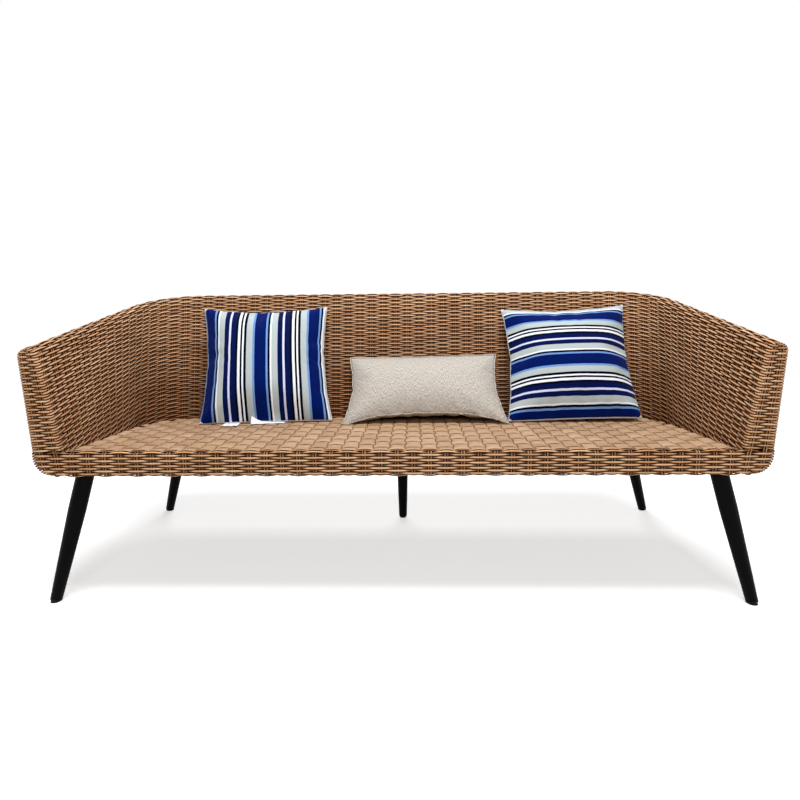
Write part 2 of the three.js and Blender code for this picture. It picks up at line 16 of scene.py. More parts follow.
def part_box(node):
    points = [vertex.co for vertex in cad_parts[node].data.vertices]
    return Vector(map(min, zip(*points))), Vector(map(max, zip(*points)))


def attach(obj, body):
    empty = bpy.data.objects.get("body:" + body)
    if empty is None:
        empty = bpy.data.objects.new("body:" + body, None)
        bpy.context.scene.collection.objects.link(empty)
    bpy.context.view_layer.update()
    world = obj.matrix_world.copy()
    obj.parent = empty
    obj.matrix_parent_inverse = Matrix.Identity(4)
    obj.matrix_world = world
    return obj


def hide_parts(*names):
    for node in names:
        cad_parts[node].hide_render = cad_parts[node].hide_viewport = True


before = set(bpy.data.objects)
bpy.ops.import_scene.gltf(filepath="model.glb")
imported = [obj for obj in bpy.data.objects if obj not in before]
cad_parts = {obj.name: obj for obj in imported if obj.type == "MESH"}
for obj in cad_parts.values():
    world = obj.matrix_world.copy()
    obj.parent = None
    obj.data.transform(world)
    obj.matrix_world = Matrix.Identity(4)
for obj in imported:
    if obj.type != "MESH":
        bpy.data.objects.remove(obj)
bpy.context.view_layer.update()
scene = bpy.context.scene
scene.view_settings.view_transform = "Standard"
rng = np.random.default_rng(11)

# %% [markdown]
# Camera
#
# The picture was taken from a standing height in front of the sofa, a little right of its middle,
# looking slightly down and to the left. A wide lens close by gives the strong taper of the arms, so
# the place, the turn and the lens all come from the perspective of the frame.

# %% Camera
CAMERA_PLACE = Vector((0.0468, -1.7994, 0.7767))
# In radians: looking down, to the left, and the tilt of the horizon
CAMERA_PITCH = 0.145
CAMERA_YAW = 0.026
CAMERA_ROLL = 0.010
FOCAL_PIXELS = 545.2
IMAGE_PIXELS = 800
SENSOR = 36.0


def camera_turn():
    level = Vector((-math.sin(CAMERA_YAW), math.cos(CAMERA_YAW), 0))
    side = Vector((math.cos(CAMERA_YAW), math.sin(CAMERA_YAW), 0))
    up = Vector((0, 0, 1))
    ahead = math.cos(CAMERA_PITCH) * level - math.sin(CAMERA_PITCH) * up
    above = math.sin(CAMERA_PITCH) * level + math.cos(CAMERA_PITCH) * up
    right = math.cos(CAMERA_ROLL) * side - math.sin(CAMERA_ROLL) * above
    top = math.sin(CAMERA_ROLL) * side + math.cos(CAMERA_ROLL) * above
    return Matrix((right, top, -ahead)).transposed().to_4x4()


camera_data = bpy.data.cameras.new("camera")
camera_data.sensor_width = SENSOR
camera_data.lens = SENSOR * FOCAL_PIXELS / IMAGE_PIXELS
camera = bpy.data.objects.new("camera", camera_data)
scene.collection.objects.link(camera)
camera.matrix_world = Matrix.Translation(CAMERA_PLACE) @ camera_turn()
scene.camera = camera
print("lens", round(camera_data.lens, 2), "mm")

# %% [markdown]
# Room
#
# The sofa stands on a plain pale floor in soft studio light. To the camera the floor adds a glow of
# its own, which rises to full white away from the sofa, so no horizon shows. The soft shadow under
# the sofa stays, because it is only a lack of lamp light. Three large area lamps and a pale sky
# light the cane from above, in front and behind.

# %% Node helpers
def new_material(name):
    material = bpy.data.materials.new(name)
    material.use_nodes = True
    material.node_tree.nodes.clear()
    return material


def feed(tree, socket, value):
    """Links a socket to another node's output, or gives it a plain value."""
    if isinstance(value, bpy.types.NodeSocket):
        tree.links.new(value, socket)
    else:
        socket.default_value = value


def add_node(tree, kind, settings=None, **inputs):
    """A node with its settings and its inputs, whose names have underscores for spaces."""
    node = tree.nodes.new(kind)
    for key, value in (settings or {}).items():
        setattr(node, key, value)
    for key, value in inputs.items():
        feed(tree, node.inputs[key.replace("_", " ")], value)
    return node


def maths(tree, operation, first, second=0.0, third=0.0):
    node = add_node(tree, "ShaderNodeMath", {"operation": operation})
    for socket, value in zip(node.inputs, (first, second, third)):
        feed(tree, socket, value)
    return node.outputs[0]


def rest_of(tree, share):
    return maths(tree, "SUBTRACT", 1.0, share)


def remapped(tree, value, *limits):
    """A value moved to another range. The limits are low and high before, then low and high after."""
    node = add_node(tree, "ShaderNodeMapRange", Value=value)
    for socket, limit in zip(node.inputs[1:5], limits):
        socket.default_value = limit
    return node.outputs[0]


def mixed(tree, share, first, second, blend="MIX"):
    """Two colours mixed. A colour Mix node takes its share at input 0 and the colours at 6 and 7."""
    node = add_node(tree, "ShaderNodeMix", {"data_type": "RGBA", "blend_type": blend})
    for socket, value in ((0, share), (6, first), (7, second)):
        feed(tree, node.inputs[socket], value)
    return node.outputs[2]


def ramp(tree, value, stops, interpolation="LINEAR"):
    node = tree.nodes.new("ShaderNodeValToRGB")
    node.color_ramp.interpolation = interpolation
    elements = node.color_ramp.elements
    while len(elements) < len(stops):
        elements.new(0.5)
    for element, (place, tint) in zip(elements, stops):
        element.position = place
        element.color = tint
    tree.links.new(value, node.inputs[0])
    return node.outputs[0]


def stretched(tree, place, factors):
    """Coordinates with each axis multiplied by its own factor."""
    node = add_node(tree, "ShaderNodeVectorMath", {"operation": "MULTIPLY"})
    feed(tree, node.inputs[0], place)
    feed(tree, node.inputs[1], factors)
    return node.outputs[0]


def noise(tree, place, scale, detail):
    return add_node(tree, "ShaderNodeTexNoise", Vector=place, Scale=scale, Detail=detail).outputs[0]


def parts_of(tree, vector):
    return add_node(tree, "ShaderNodeSeparateXYZ", Vector=vector).outputs


def object_place(tree):
    return add_node(tree, "ShaderNodeTexCoord").outputs["Object"]


def attribute(tree, name, output="Fac"):
    return add_node(tree, "ShaderNodeAttribute", {"attribute_name": name}).outputs[output]


def bumped(tree, height, strength, distance):
    bump = add_node(tree, "ShaderNodeBump", Height=height, Strength=strength, Distance=distance)
    return bump.outputs[0]


def surface(tree, **inputs):
    """The shader with its inputs, joined to the output of the material."""
    shader = add_node(tree, "ShaderNodeBsdfPrincipled", **inputs)
    out = add_node(tree, "ShaderNodeOutputMaterial")
    tree.links.new(shader.outputs[0], out.inputs[0])


def grey(value):
    return (value, value, value, 1.0)


def colour(red, green, blue):
    """A colour written as the eye sees it, 0 to 255, turned to the linear values that nodes take."""
    def linear(value):
        share = value / 255
        return share / 12.92 if share <= 0.04045 else ((share + 0.055) / 1.055) ** 2.4
    return (linear(red), linear(green), linear(blue), 1.0)


# %% Floor
FLOOR_REACH = 40.0
FLOOR_GREY = 0.86
# The glow near the sofa, and how far from its middle it starts and ends to rise to full white
FLOOR_GLOW = 0.60
GLOW_NEAR, GLOW_FAR = 1.5, 6.0


def seen_by_camera(tree, *others):
    """1 for what the camera sees, straight or by one of the other kinds of ray."""
    rays = add_node(tree, "ShaderNodeLightPath")
    seen = rays.outputs["Is Camera Ray"]
    for kind in others:
        seen = maths(tree, "MAXIMUM", seen, rays.outputs[kind])
    return seen


def white_floor():
    bpy.ops.mesh.primitive_plane_add(size=FLOOR_REACH, location=(0, 0, 0))
    floor = bpy.context.object
    floor.name = "floor"
    material = new_material("floor_white")
    tree = material.node_tree
    shader = add_node(tree, "ShaderNodeBsdfPrincipled", Base_Color=grey(FLOOR_GREY), Roughness=0.9,
                      Specular_IOR_Level=0.0)
    away = add_node(tree, "ShaderNodeVectorMath", {"operation": "LENGTH"})
    tree.links.new(object_place(tree), away.inputs[0])
    rise = remapped(tree, away.outputs["Value"], GLOW_NEAR, GLOW_FAR, FLOOR_GLOW, 1.0)
    seen = seen_by_camera(tree, "Is Glossy Ray")
    glow = add_node(tree, "ShaderNodeEmission", Strength=maths(tree, "MULTIPLY", seen, rise))
    both = add_node(tree, "ShaderNodeAddShader")
    tree.links.new(shader.outputs[0], both.inputs[0])
    tree.links.new(glow.outputs[0], both.inputs[1])
    out = add_node(tree, "ShaderNodeOutputMaterial")
    tree.links.new(both.outputs[0], out.inputs[0])
    floor.data.materials.append(material)


white_floor()
print("floor", FLOOR_REACH, "m across")

# %% Sky and lamps
SKY_LIGHT = 0.12

world = bpy.data.worlds.new("studio")
scene.world = world
world.use_nodes = True
sky = world.node_tree
sky.nodes.clear()
white_to_camera = seen_by_camera(sky, "Is Glossy Ray", "Is Transmission Ray")
strength = maths(sky, "MULTIPLY_ADD", white_to_camera, 1.0 - SKY_LIGHT, SKY_LIGHT)
background = add_node(sky, "ShaderNodeBackground", Color=grey(1.0), Strength=strength)
sky_out = add_node(sky, "ShaderNodeOutputWorld")
sky.links.new(background.outputs[0], sky_out.inputs[0])


def add_object(name, data):
    made = bpy.data.objects.new(name, data)
    scene.collection.objects.link(made)
    return made


def area_lamp(name, place, target, size, power):
    data = bpy.data.lights.new(name, "AREA")
    data.shape = "RECTANGLE"
    data.size, data.size_y = size
    data.energy = power
    lamp = add_object(name, data)
    lamp.location = place
    lamp.rotation_mode = "QUATERNION"
    lamp.rotation_quaternion = (Vector(target) - Vector(place)).to_track_quat("-Z", "Y")


area_lamp("lamp_above", place=(0.2, -1.0, 4.4), target=(0, 0.05, 0.4), size=(2.2, 1.3), power=192)
area_lamp("lamp_front", place=(0.1, -3.4, 1.9), target=(0, 0, 0.5), size=(1.4, 1.0), power=32)
area_lamp("lamp_rear", place=(-0.1, 2.7, 4.1), target=(0, 0.3, 0.5), size=(2.0, 1.2), power=60)

# %% [markdown]
# Shared effects
#
# Three effects are used by more than one finish, so each is a node group built once: long streaks
# along a moulded strand, a faint layer of dust on what faces up, which on the cane also serves as
# painted top light, and the threads of a woven cloth.

# %% Shared node groups
def new_group(name, inputs, outputs):
    tree = bpy.data.node_groups.new(name, "ShaderNodeTree")
    for label, kind, value in inputs:
        socket = tree.interface.new_socket(label, in_out="INPUT", socket_type=kind)
        if value is not None:
            socket.default_value = value
    for label, kind in outputs:
        tree.interface.new_socket(label, in_out="OUTPUT", socket_type=kind)
    return tree, tree.nodes.new("NodeGroupInput"), tree.nodes.new("NodeGroupOutput")


def use_group(tree, group, **inputs):
    return add_node(tree, "ShaderNodeGroup", {"node_tree": group}, **inputs)


def weighted(tree, share, first, second):
    return maths(tree, "ADD", maths(tree, "MULTIPLY", first, share),
                 maths(tree, "MULTIPLY", second, 1.0 - share))


# %% Streaks
# Streaks are long and narrow: few to a metre along the strand, many across it
STREAK_STRETCH = (14, 900, 900)
FINE_SHARE = 0.6
BROAD_SCALE = 0.25


def build_streaks():
    tree, given, out = new_group(
        "strand_streaks",
        [("Place", "NodeSocketVector", None), ("Fineness", "NodeSocketFloat", 1.0)],
        [("Streak", "NodeSocketFloat"), ("Height", "NodeSocketFloat")],
    )
    scaled = add_node(tree, "ShaderNodeVectorMath", {"operation": "SCALE"})
    tree.links.new(stretched(tree, given.outputs["Place"], STREAK_STRETCH), scaled.inputs[0])
    tree.links.new(given.outputs["Fineness"], scaled.inputs[3])
    fine = noise(tree, scaled.outputs[0], 1.0, 3.0)
    broad = noise(tree, scaled.outputs[0], BROAD_SCALE, 1.0)
    tree.links.new(weighted(tree, FINE_SHARE, fine, broad), out.inputs["Streak"])
    tree.links.new(fine, out.inputs["Height"])
    return tree


# %% Dust
DUST_PATCHES = 9.0


def build_dust():
    tree, given, out = new_group(
        "settled_dust",
        [("Place", "NodeSocketVector", None), ("Amount", "NodeSocketFloat", 0.3)],
        [("Mask", "NodeSocketFloat")],
    )
    facing = add_node(tree, "ShaderNodeNewGeometry").outputs["Normal"]
    upward = maths(tree, "MAXIMUM", parts_of(tree, facing)[2], 0.0)
    patches = noise(tree, given.outputs["Place"], DUST_PATCHES, 5.0)
    mask = maths(tree, "MULTIPLY", maths(tree, "MULTIPLY", upward, patches), given.outputs["Amount"])
    tree.links.new(mask, out.inputs["Mask"])
    return tree


# %% Threads
# Slubs, the thicker stretches of a thread, are short across it and long along it
SLUB_ACROSS, SLUB_ALONG = 1100, 120
UPRIGHT_SHARE = 0.75


def build_cloth_threads():
    tree, given, out = new_group(
        "cloth_threads",
        [("Place", "NodeSocketVector", None), ("Pitch", "NodeSocketFloat", 0.001)],
        [("Height", "NodeSocketFloat"), ("Slub", "NodeSocketFloat")],
    )
    place = given.outputs["Place"]
    parts = parts_of(tree, place)
    turns = maths(tree, "DIVIDE", 2 * math.pi, given.outputs["Pitch"])
    across = maths(tree, "SINE", maths(tree, "MULTIPLY", parts[0], turns))
    along = maths(tree, "SINE", maths(tree, "MULTIPLY", parts[1], turns))
    weave = maths(tree, "MULTIPLY", across, along)
    tree.links.new(maths(tree, "MULTIPLY_ADD", weave, 0.5, 0.5), out.inputs["Height"])
    upright = noise(tree, stretched(tree, place, (SLUB_ACROSS, SLUB_ALONG, 1)), 1.0, 3.0)
    level = noise(tree, stretched(tree, place, (SLUB_ALONG, SLUB_ACROSS, 1)), 1.0, 3.0)
    tree.links.new(weighted(tree, UPRIGHT_SHARE, upright, level), out.inputs["Slub"])
    return tree


streaks_group = build_streaks()
dust_group = build_dust()
threads_group = build_cloth_threads()
print("groups:", [g.name for g in bpy.data.node_groups])

# %% [markdown]
# Cane finish
#
# The cane is moulded resin in a honey tan. No two strands are quite alike, so every strand crossing
# carries its own tone as an attribute, and long streaks run with the strand. Painted shade makes the
# flanks of each strand, the lower one most, and the stretches where it dives a deeper brown, as
# under light from above, and a painted highlight runs along its upper back.

# %% Cane finish
# Painted shade: towards the seat the inner walls are darker, as in the shade of the corner over the
# seat
CORNER_SHADE_TINT = (0.36, 0.28, 0.23, 1)
STREAK_SHADES = [(0.32, grey(0.72)), (0.68, grey(1.16))]
# Dust on what faces up, which on the cane also stands in for painted top light on the crest and the
# tops of strands
CANE_DUST_AND_TOP_LIGHT, CANE_DUST_AND_TOP_LIGHT_COLOUR = 0.22, colour(214, 196, 174)
# Colour of the painted highlight along the upper back of each strand
CANE_HIGHLIGHT_COLOUR = colour(240, 208, 176)
CANE_GLOSS = 0.06
CANE_ROUGH_SPREAD = 0.22
STREAK_BUMP, STREAK_DEPTH = 0.25, 0.0004
# In shares of a strand's half height: upward shift of the lit middle between the painted flank
# shade, then shift and half width of the painted highlight line
LIT_MIDDLE_SHIFT, HIGHLIGHT_SHIFT, HIGHLIGHT_HALF = 0.16, 0.30, 0.26
# How sharply the painted flank shade sets in towards the edges of a strand
FLANK_SHADE_SHARPNESS = 1.9


def cane_material(name, tones, shade_colour, dive, rough, half_height, flank_shade, painted_highlight):
    """Cane in a run of tones, with painted shade where it dives between two lifts and on its flanks,
    and a painted highlight along its upper back.
    """
    material = new_material(name)
    tree = material.node_tree
    place = attribute(tree, "strand", "Vector")
    corner = attribute(tree, "corner")
    parts = parts_of(tree, place)
    streak = use_group(tree, streaks_group, Place=place, Fineness=1.0)
    base = ramp(tree, attribute(tree, "tone"), tones)
    base = mixed(tree, 1.0, base, ramp(tree, streak.outputs["Streak"], STREAK_SHADES), "MULTIPLY")
    # Painted shade where the strand dives behind the stakes and on its flanks, the lower flank most;
    # clear is the share left lit
    dive_shade = remapped(tree, parts[2], *dive, 1.0, 0.0)
    edge = maths(tree, "ABSOLUTE", maths(tree, "SUBTRACT", parts[1], half_height * LIT_MIDDLE_SHIFT))
    edge = maths(tree, "POWER", maths(tree, "DIVIDE", edge, half_height), FLANK_SHADE_SHARPNESS)
    edge = maths(tree, "MULTIPLY", maths(tree, "MINIMUM", edge, 1.0), flank_shade)
    clear = maths(tree, "MULTIPLY", rest_of(tree, edge), rest_of(tree, dive_shade))
    # Painted highlight: a pale line along the upper back of the strand
    highlight_line = maths(tree, "SUBTRACT", parts[1], half_height * HIGHLIGHT_SHIFT)
    highlight_line = maths(tree, "DIVIDE", highlight_line, half_height * HIGHLIGHT_HALF)
    highlight_line = maths(tree, "MAXIMUM", rest_of(tree, maths(tree, "MULTIPLY", highlight_line, highlight_line)), 0.0)
    base = mixed(tree, maths(tree, "MULTIPLY", highlight_line, painted_highlight), base, CANE_HIGHLIGHT_COLOUR)
    base = mixed(tree, clear, shade_colour, base)
    # Painted shade in the corner over the seat, from the corner attribute
    base = mixed(tree, corner, base, mixed(tree, 1.0, base, CORNER_SHADE_TINT, "MULTIPLY"))
    # Dust and painted top light, kept off the painted shade
    dusty = maths(tree, "MULTIPLY", maths(tree, "MULTIPLY", clear, rest_of(tree, corner)), CANE_DUST_AND_TOP_LIGHT)
    dust = use_group(tree, dust_group, Place=object_place(tree), Amount=dusty)
    base = mixed(tree, dust.outputs["Mask"], base, CANE_DUST_AND_TOP_LIGHT_COLOUR)
    roughness = maths(tree, "MULTIPLY_ADD", streak.outputs["Streak"], CANE_ROUGH_SPREAD,
                      rough - CANE_ROUGH_SPREAD / 2)
    surface(tree, Base_Color=base, Roughness=roughness, Specular_IOR_Level=CANE_GLOSS,
            Normal=bumped(tree, streak.outputs["Height"], STREAK_BUMP, STREAK_DEPTH))
    return material


# %% Cane materials
CANE_TONES = [
    (0.0, colour(166, 109, 64)),
    (0.2, colour(197, 137, 87)),
    (0.4, colour(213, 155, 105)),
    (0.6, colour(221, 160, 117)),
    (0.8, colour(236, 185, 137)),
    (1.0, colour(215, 165, 113)),
]
STAKE_TONES = [(0.0, colour(134, 88, 54)), (0.5, colour(170, 118, 78)), (1.0, colour(196, 146, 104))]
DECK_TONES = [(0.0, colour(156, 119, 87)), (0.5, colour(170, 134, 102)), (1.0, colour(182, 148, 117))]

cane = cane_material("cane_honey", CANE_TONES, shade_colour=colour(28, 9, 2), dive=(-0.0012, 0.0022),
                     rough=0.46, half_height=0.0031, flank_shade=0.96, painted_highlight=0.55)
stake_cane = cane_material("cane_stakes", STAKE_TONES, shade_colour=colour(34, 15, 6), dive=(-0.0026, 0.0008),
                           rough=0.48, half_height=0.0023, flank_shade=0.75, painted_highlight=0.1)
deck_cane = cane_material("cane_deck", DECK_TONES, shade_colour=colour(120, 82, 50), dive=(-0.0090, -0.0022),
                          rough=0.50, half_height=0.0220, flank_shade=0.22, painted_highlight=0.0)
print("cane finishes:", cane.name, stake_cane.name, deck_cane.name)

# %% [markdown]
# Shape of the walls
#
# Arms, corners and back are one hollow woven wall. In plan each of its edges runs back along an arm,
# round a rear corner and across the back. In section it rises from the seat, rolls over the crest,
# drops down the outside and turns under. The weave is laid on the middle surface of that skin, so
# these functions give the same lines as the solid model, moved in by half the weave.

# %% Plan lines and wall section
FRONT_Y = -0.38525
REAR_Y = 0.39475
BACK_HEIGHT = 0.880
ARM_TIP_HEIGHT = 0.712
DECK_TOP = 0.432
WALL_FOOT = 0.4323
BOTTOM = 0.3661
CREST_HALF = 0.025
CREST_RISE = 0.022
BOTTOM_ROUND = 0.050
ARC_POINTS = 9

# Front half width, rear half width, rear face and corner radius of each plan line
OUTER_TOP = (1.000, 0.982, REAR_Y, 0.208)
INNER_TOP = (0.950, 0.932, 0.34475, 0.158)
OUTER_FOOT = (0.987, 0.969, 0.38175, 0.195)
INNER_FOOT = (0.904, 0.878, 0.13975, 0.150)
CREST_LINE = (0.975, 0.957, 0.36975, 0.183)
CREST_SLOPE = (BACK_HEIGHT - ARM_TIP_HEIGHT) / (CREST_LINE[2] - FRONT_Y)


def shrunk(line, inset):
    return tuple(value - inset for value in line)


def corner_of(line):
    front, rear, back, radius = line
    drift = math.atan2(front - rear, back - FRONT_Y)
    sweep = math.pi / 2 - drift
    reach = radius * math.tan(sweep / 2)
    start = (rear + reach * math.sin(drift), back - reach * math.cos(drift))
    return drift, sweep, start, (rear - reach, back - radius)


def plan_point(line, station, z):
    stretch, share, side = station
    drift, sweep, start, centre = corner_of(line)
    if stretch == "arm":
        x = line[0] + (start[0] - line[0]) * share
        y = FRONT_Y + (start[1] - FRONT_Y) * share
    elif stretch == "corner":
        angle = drift + sweep * share
        x = centre[0] + line[3] * math.cos(angle)
        y = centre[1] + line[3] * math.sin(angle)
    else:
        x = centre[0] * (1 - 2 * share)
        y = line[2]
    return np.array((x * side, y, z))


def wall_section(station, skin):
    """Points from the inner foot over the crest to under the bottom; number ARC_POINTS is the top."""
    crest = ARM_TIP_HEIGHT + (plan_point(CREST_LINE, station, 0)[1] - FRONT_Y) * CREST_SLOPE
    shoulder = crest - CREST_RISE
    half, rise = CREST_HALF - skin, CREST_RISE - skin
    foot = plan_point(INNER_FOOT, station, WALL_FOOT)
    head = plan_point(INNER_TOP, station, shoulder)
    turn = {"arm": 0, "corner": station[1] * math.pi / 2, "back": math.pi / 2}[station[0]]
    run = (head[0] - foot[0]) * station[2] * math.cos(turn) + (head[1] - foot[1]) * math.sin(turn)
    first = math.atan(rise / half * run / (shoulder - WALL_FOOT))
    points = [plan_point(shrunk(INNER_FOOT, -skin), station, WALL_FOOT)]
    angles = [*np.linspace(first, math.pi / 2, ARC_POINTS),
              *np.linspace(math.pi / 2, math.pi, ARC_POINTS)[1:]]
    for angle in angles:
        z = shoulder + rise * math.sin(angle)
        near = plan_point(shrunk(INNER_TOP, -skin), station, z)
        far = plan_point(shrunk(OUTER_TOP, skin), station, z)
        points.append(near + (far - near) * (1 - math.cos(angle)) / 2)
    for angle in np.linspace(0, math.pi / 2, ARC_POINTS):
        inset = BOTTOM_ROUND - (BOTTOM_ROUND - skin) * math.cos(angle)
        z = BOTTOM + BOTTOM_ROUND - (BOTTOM_ROUND - skin) * math.sin(angle)
        points.append(plan_point(shrunk(OUTER_FOOT, inset), station, z))
    points.append(plan_point(shrunk(INNER_FOOT, -skin), station, BOTTOM + skin))
    points = np.array(points)
    points[:, 1] = np.maximum(points[:, 1], FRONT_Y + skin)
    return points


# %% [markdown]
# One strand
#
# The weave is plain: every strand passes in front of one pair of stakes and behind the next. Seen
# from outside a crossing looks like a slim boat, broad over the stakes and thin where it dives. One
# wave of a strand, two stake spaces long, is modelled by extruding a six-sided ring step by step,
# lifting and narrowing it on the way. Its rings are then repeated along every row of the weave.

# %% Strand and stake sizes
STRAND_SIDES = 6
WAVE_STEPS = 12
COLUMN_STEPS = WAVE_STEPS // 2
ROW_PITCH = 0.0070
FRONT_PITCH, ARM_PITCH_GROWTH, CORNER_PITCH_GROWTH = 0.0071, 0.0004, 0.0002
WAVE_LIFT = 0.0027
STRAND_DEPTH = 0.0019
DIVE_SHARPNESS = 0.75
WRAP_LIFT = 0.0010
WRAP_HEIGHT = 0.0026
BOAT_FULLNESS = 1.05
FRONT_HEIGHT = 0.0040
BACK_HEIGHT_HALF = 0.0014
MIDDLE_INSET = 0.0030
STAKE_RADIUS = 0.0021
STAKE_SPREAD = 0.0034
STAKE_SIDES = 5


def deselect_all():
    if bpy.context.mode != "OBJECT":
        bpy.ops.object.mode_set(mode="OBJECT")
    bpy.ops.object.select_all(action="DESELECT")


def model_wave():
    """One wave of a strand, from behind one stake pair to behind the next but one."""
    deselect_all()
    bpy.ops.mesh.primitive_circle_add(
        vertices=STRAND_SIDES, radius=1.0, rotation=(0, math.pi / 2, 0), location=(0, 0, 0))
    wave = bpy.context.object
    wave.name = "strand_wave"
    bpy.ops.object.transform_apply(location=False, rotation=True, scale=True)
    bpy.ops.object.mode_set(mode="EDIT")
    bpy.ops.mesh.select_all(action="SELECT")
    bpy.ops.transform.resize(value=(1, STRAND_DEPTH, BACK_HEIGHT_HALF), center_override=(0, 0, 0))
    bpy.ops.transform.translate(value=(0, -WAVE_LIFT, 0))
    lift, height = -WAVE_LIFT, BACK_HEIGHT_HALF
    for step in range(1, WAVE_STEPS + 1):
        forward = (1 - math.cos(2 * math.pi * step / WAVE_STEPS)) / 2
        next_lift = WAVE_LIFT * (2 * forward ** DIVE_SHARPNESS - 1)
        fuller = (FRONT_HEIGHT - BACK_HEIGHT_HALF) * forward ** BOAT_FULLNESS
        next_height = BACK_HEIGHT_HALF + fuller
        bpy.ops.mesh.extrude_region_move(
            TRANSFORM_OT_translate={"value": (1.0, next_lift - lift, 0)})
        bpy.ops.transform.resize(value=(1, 1, next_height / height), center_override=(0, 0, 0))
        lift, height = next_lift, next_height
    bpy.ops.object.mode_set(mode="OBJECT")
    return wave


wave = model_wave()
places = np.array([v.co for v in wave.data.vertices])
order = np.argsort(np.round(places[:, 0]), kind="stable")
rings = places[order].reshape(WAVE_STEPS + 1, STRAND_SIDES, 3)
wave_rings = []
for ring in rings[:WAVE_STEPS]:
    middle = ring[:, 1:].mean(axis=0)
    turn_order = np.argsort(np.arctan2(ring[:, 2] - middle[1], ring[:, 1] - middle[0]))
    wave_rings.append(ring[turn_order, 1:])
wave_rings = np.array(wave_rings)
bpy.data.objects.remove(wave)
print("rings in one wave:", wave_rings.shape)


# %% Attributes and smooth faces
def write_attribute(mesh, name, values):
    """One value or one vector for each point, for the materials to read."""
    values = np.asarray(values, dtype=np.float32)
    kind, field = ("FLOAT", "value") if values.ndim == 1 else ("FLOAT_VECTOR", "vector")
    mesh.attributes.new(name, kind, "POINT").data.foreach_set(field, values.ravel())


def smooth(mesh):
    mesh.polygons.foreach_set("use_smooth", np.ones(len(mesh.polygons), dtype=bool))


# %% Meshes from rings
class Strands:
    """Collects tubes made of rings and turns them into one mesh piece."""

    def __init__(self):
        self.points, self.faces, self.count = [], [], 0
        self.strand, self.tone, self.corner = [], [], []

    def tube(self, rings, strand, tone, corner=0.0):
        steps, sides = rings.shape[:2]
        here = np.arange(steps - 1)[:, None] * sides + np.arange(sides)[None, :]
        beside = np.arange(steps - 1)[:, None] * sides + (np.arange(sides)[None, :] + 1) % sides
        faces = np.stack([here, here + sides, beside + sides, beside], axis=-1)
        self.faces.append(faces.reshape(-1, 4) + self.count)
        for start, flip in ((0, False), ((steps - 1) * sides, True)):
            for k in range(1, sides - 2, 2):
                cap = [start, start + k, start + k + 1, start + min(k + 2, sides - 1)]
                self.faces.append(np.array([cap[::-1] if flip else cap]) + self.count)
        self.points.append(rings.reshape(-1, 3))
        self.strand.append(strand.reshape(-1, 3))
        for kept, values in ((self.tone, tone), (self.corner, corner)):
            kept.append(np.broadcast_to(np.reshape(values, (-1, 1)), (steps, sides)).reshape(-1))
        self.count += steps * sides

    def build(self, name, material):
        points = np.concatenate(self.points)
        faces = np.concatenate(self.faces)
        mesh = bpy.data.meshes.new(name)
        mesh.vertices.add(len(points))
        mesh.vertices.foreach_set("co", points.astype(np.float32).ravel())
        mesh.loops.add(4 * len(faces))
        mesh.loops.foreach_set("vertex_index", faces.astype(np.int32).ravel())
        mesh.polygons.add(len(faces))
        mesh.polygons.foreach_set("loop_start", np.arange(0, 4 * len(faces), 4, dtype=np.int32))
        mesh.update(calc_edges=True)
        smooth(mesh)
        write_attribute(mesh, "strand", np.concatenate(self.strand))
        write_attribute(mesh, "tone", np.concatenate(self.tone))
        # corner holds the share of painted shade in the corner over the seat
        write_attribute(mesh, "corner", np.concatenate(self.corner))
        mesh.materials.append(material)
        print(name, "triangles:", 2 * len(faces))
        return add_object(name, mesh)


# %% Lay one strand or one pair of stakes
# A crossing's tone is its own for the larger part, and its strand's for the rest
OWN_TONE = 0.75
# How much a crossing is fuller where its tone is high
SWELL = 0.10
# How far apart strands may start in the streaks, in metres
STREAK_RANGE = 40


def unit(vectors):
    return vectors / np.maximum(np.linalg.norm(vectors, axis=-1, keepdims=True), 1e-9)


def lengths_along(points):
    """Distance from the first point to each point along a line."""
    return np.concatenate([[0], np.cumsum(np.linalg.norm(np.diff(points, axis=0), axis=1))])


def lay_strand(strands, points, outward, across, phase, wrap=0.0, corner=0.0):
    """Repeats the modelled wave along a row of points, one ring to a point."""
    number = np.arange(len(points)) + phase
    ring = wave_rings[number % WAVE_STEPS]
    crossing = number // WAVE_STEPS
    crossing -= crossing.min()
    tones = rng.random(crossing.max() + 1) * OWN_TONE + rng.random() * (1 - OWN_TONE)
    tone = tones[crossing]
    swell = 1 + SWELL * (tone - 0.5)
    middle = ring[..., 0].mean(axis=1)
    lift = ring[..., 0] + (wrap * np.maximum(0, WRAP_LIFT - middle))[:, None]
    fuller = 1 + wrap * np.maximum(0, WRAP_HEIGHT / ring[..., 1].max(axis=1) - 1)
    height = ring[..., 1] * (swell * fuller)[:, None]
    rings = points[:, None] + lift[..., None] * outward[:, None] + height[..., None] * across[:, None]
    length = lengths_along(points) + rng.random() * STREAK_RANGE
    strand = np.stack([np.broadcast_to(length[:, None], lift.shape), height, lift], axis=-1)
    strands.tube(rings, strand, tone, corner)


def lay_stake(strands, points, outward, beside, corner=0.0):
    """A pair of round stakes along a row of points."""
    angle = 2 * np.pi * np.arange(STAKE_SIDES) / STAKE_SIDES
    shape = (len(points), STAKE_SIDES)
    lift = np.broadcast_to(STAKE_RADIUS * np.cos(angle), shape)
    width = np.broadcast_to(STAKE_RADIUS * np.sin(angle), shape)
    strand = np.stack([np.broadcast_to(lengths_along(points)[:, None], shape), width, lift], axis=-1)
    for offset in (-STAKE_SPREAD, STAKE_SPREAD):
        centre = points[:, None] + offset * beside[:, None]
        rings = centre + lift[..., None] * outward[:, None] - width[..., None] * beside[:, None]
        strands.tube(rings, strand, np.full(len(points), rng.random()), corner)


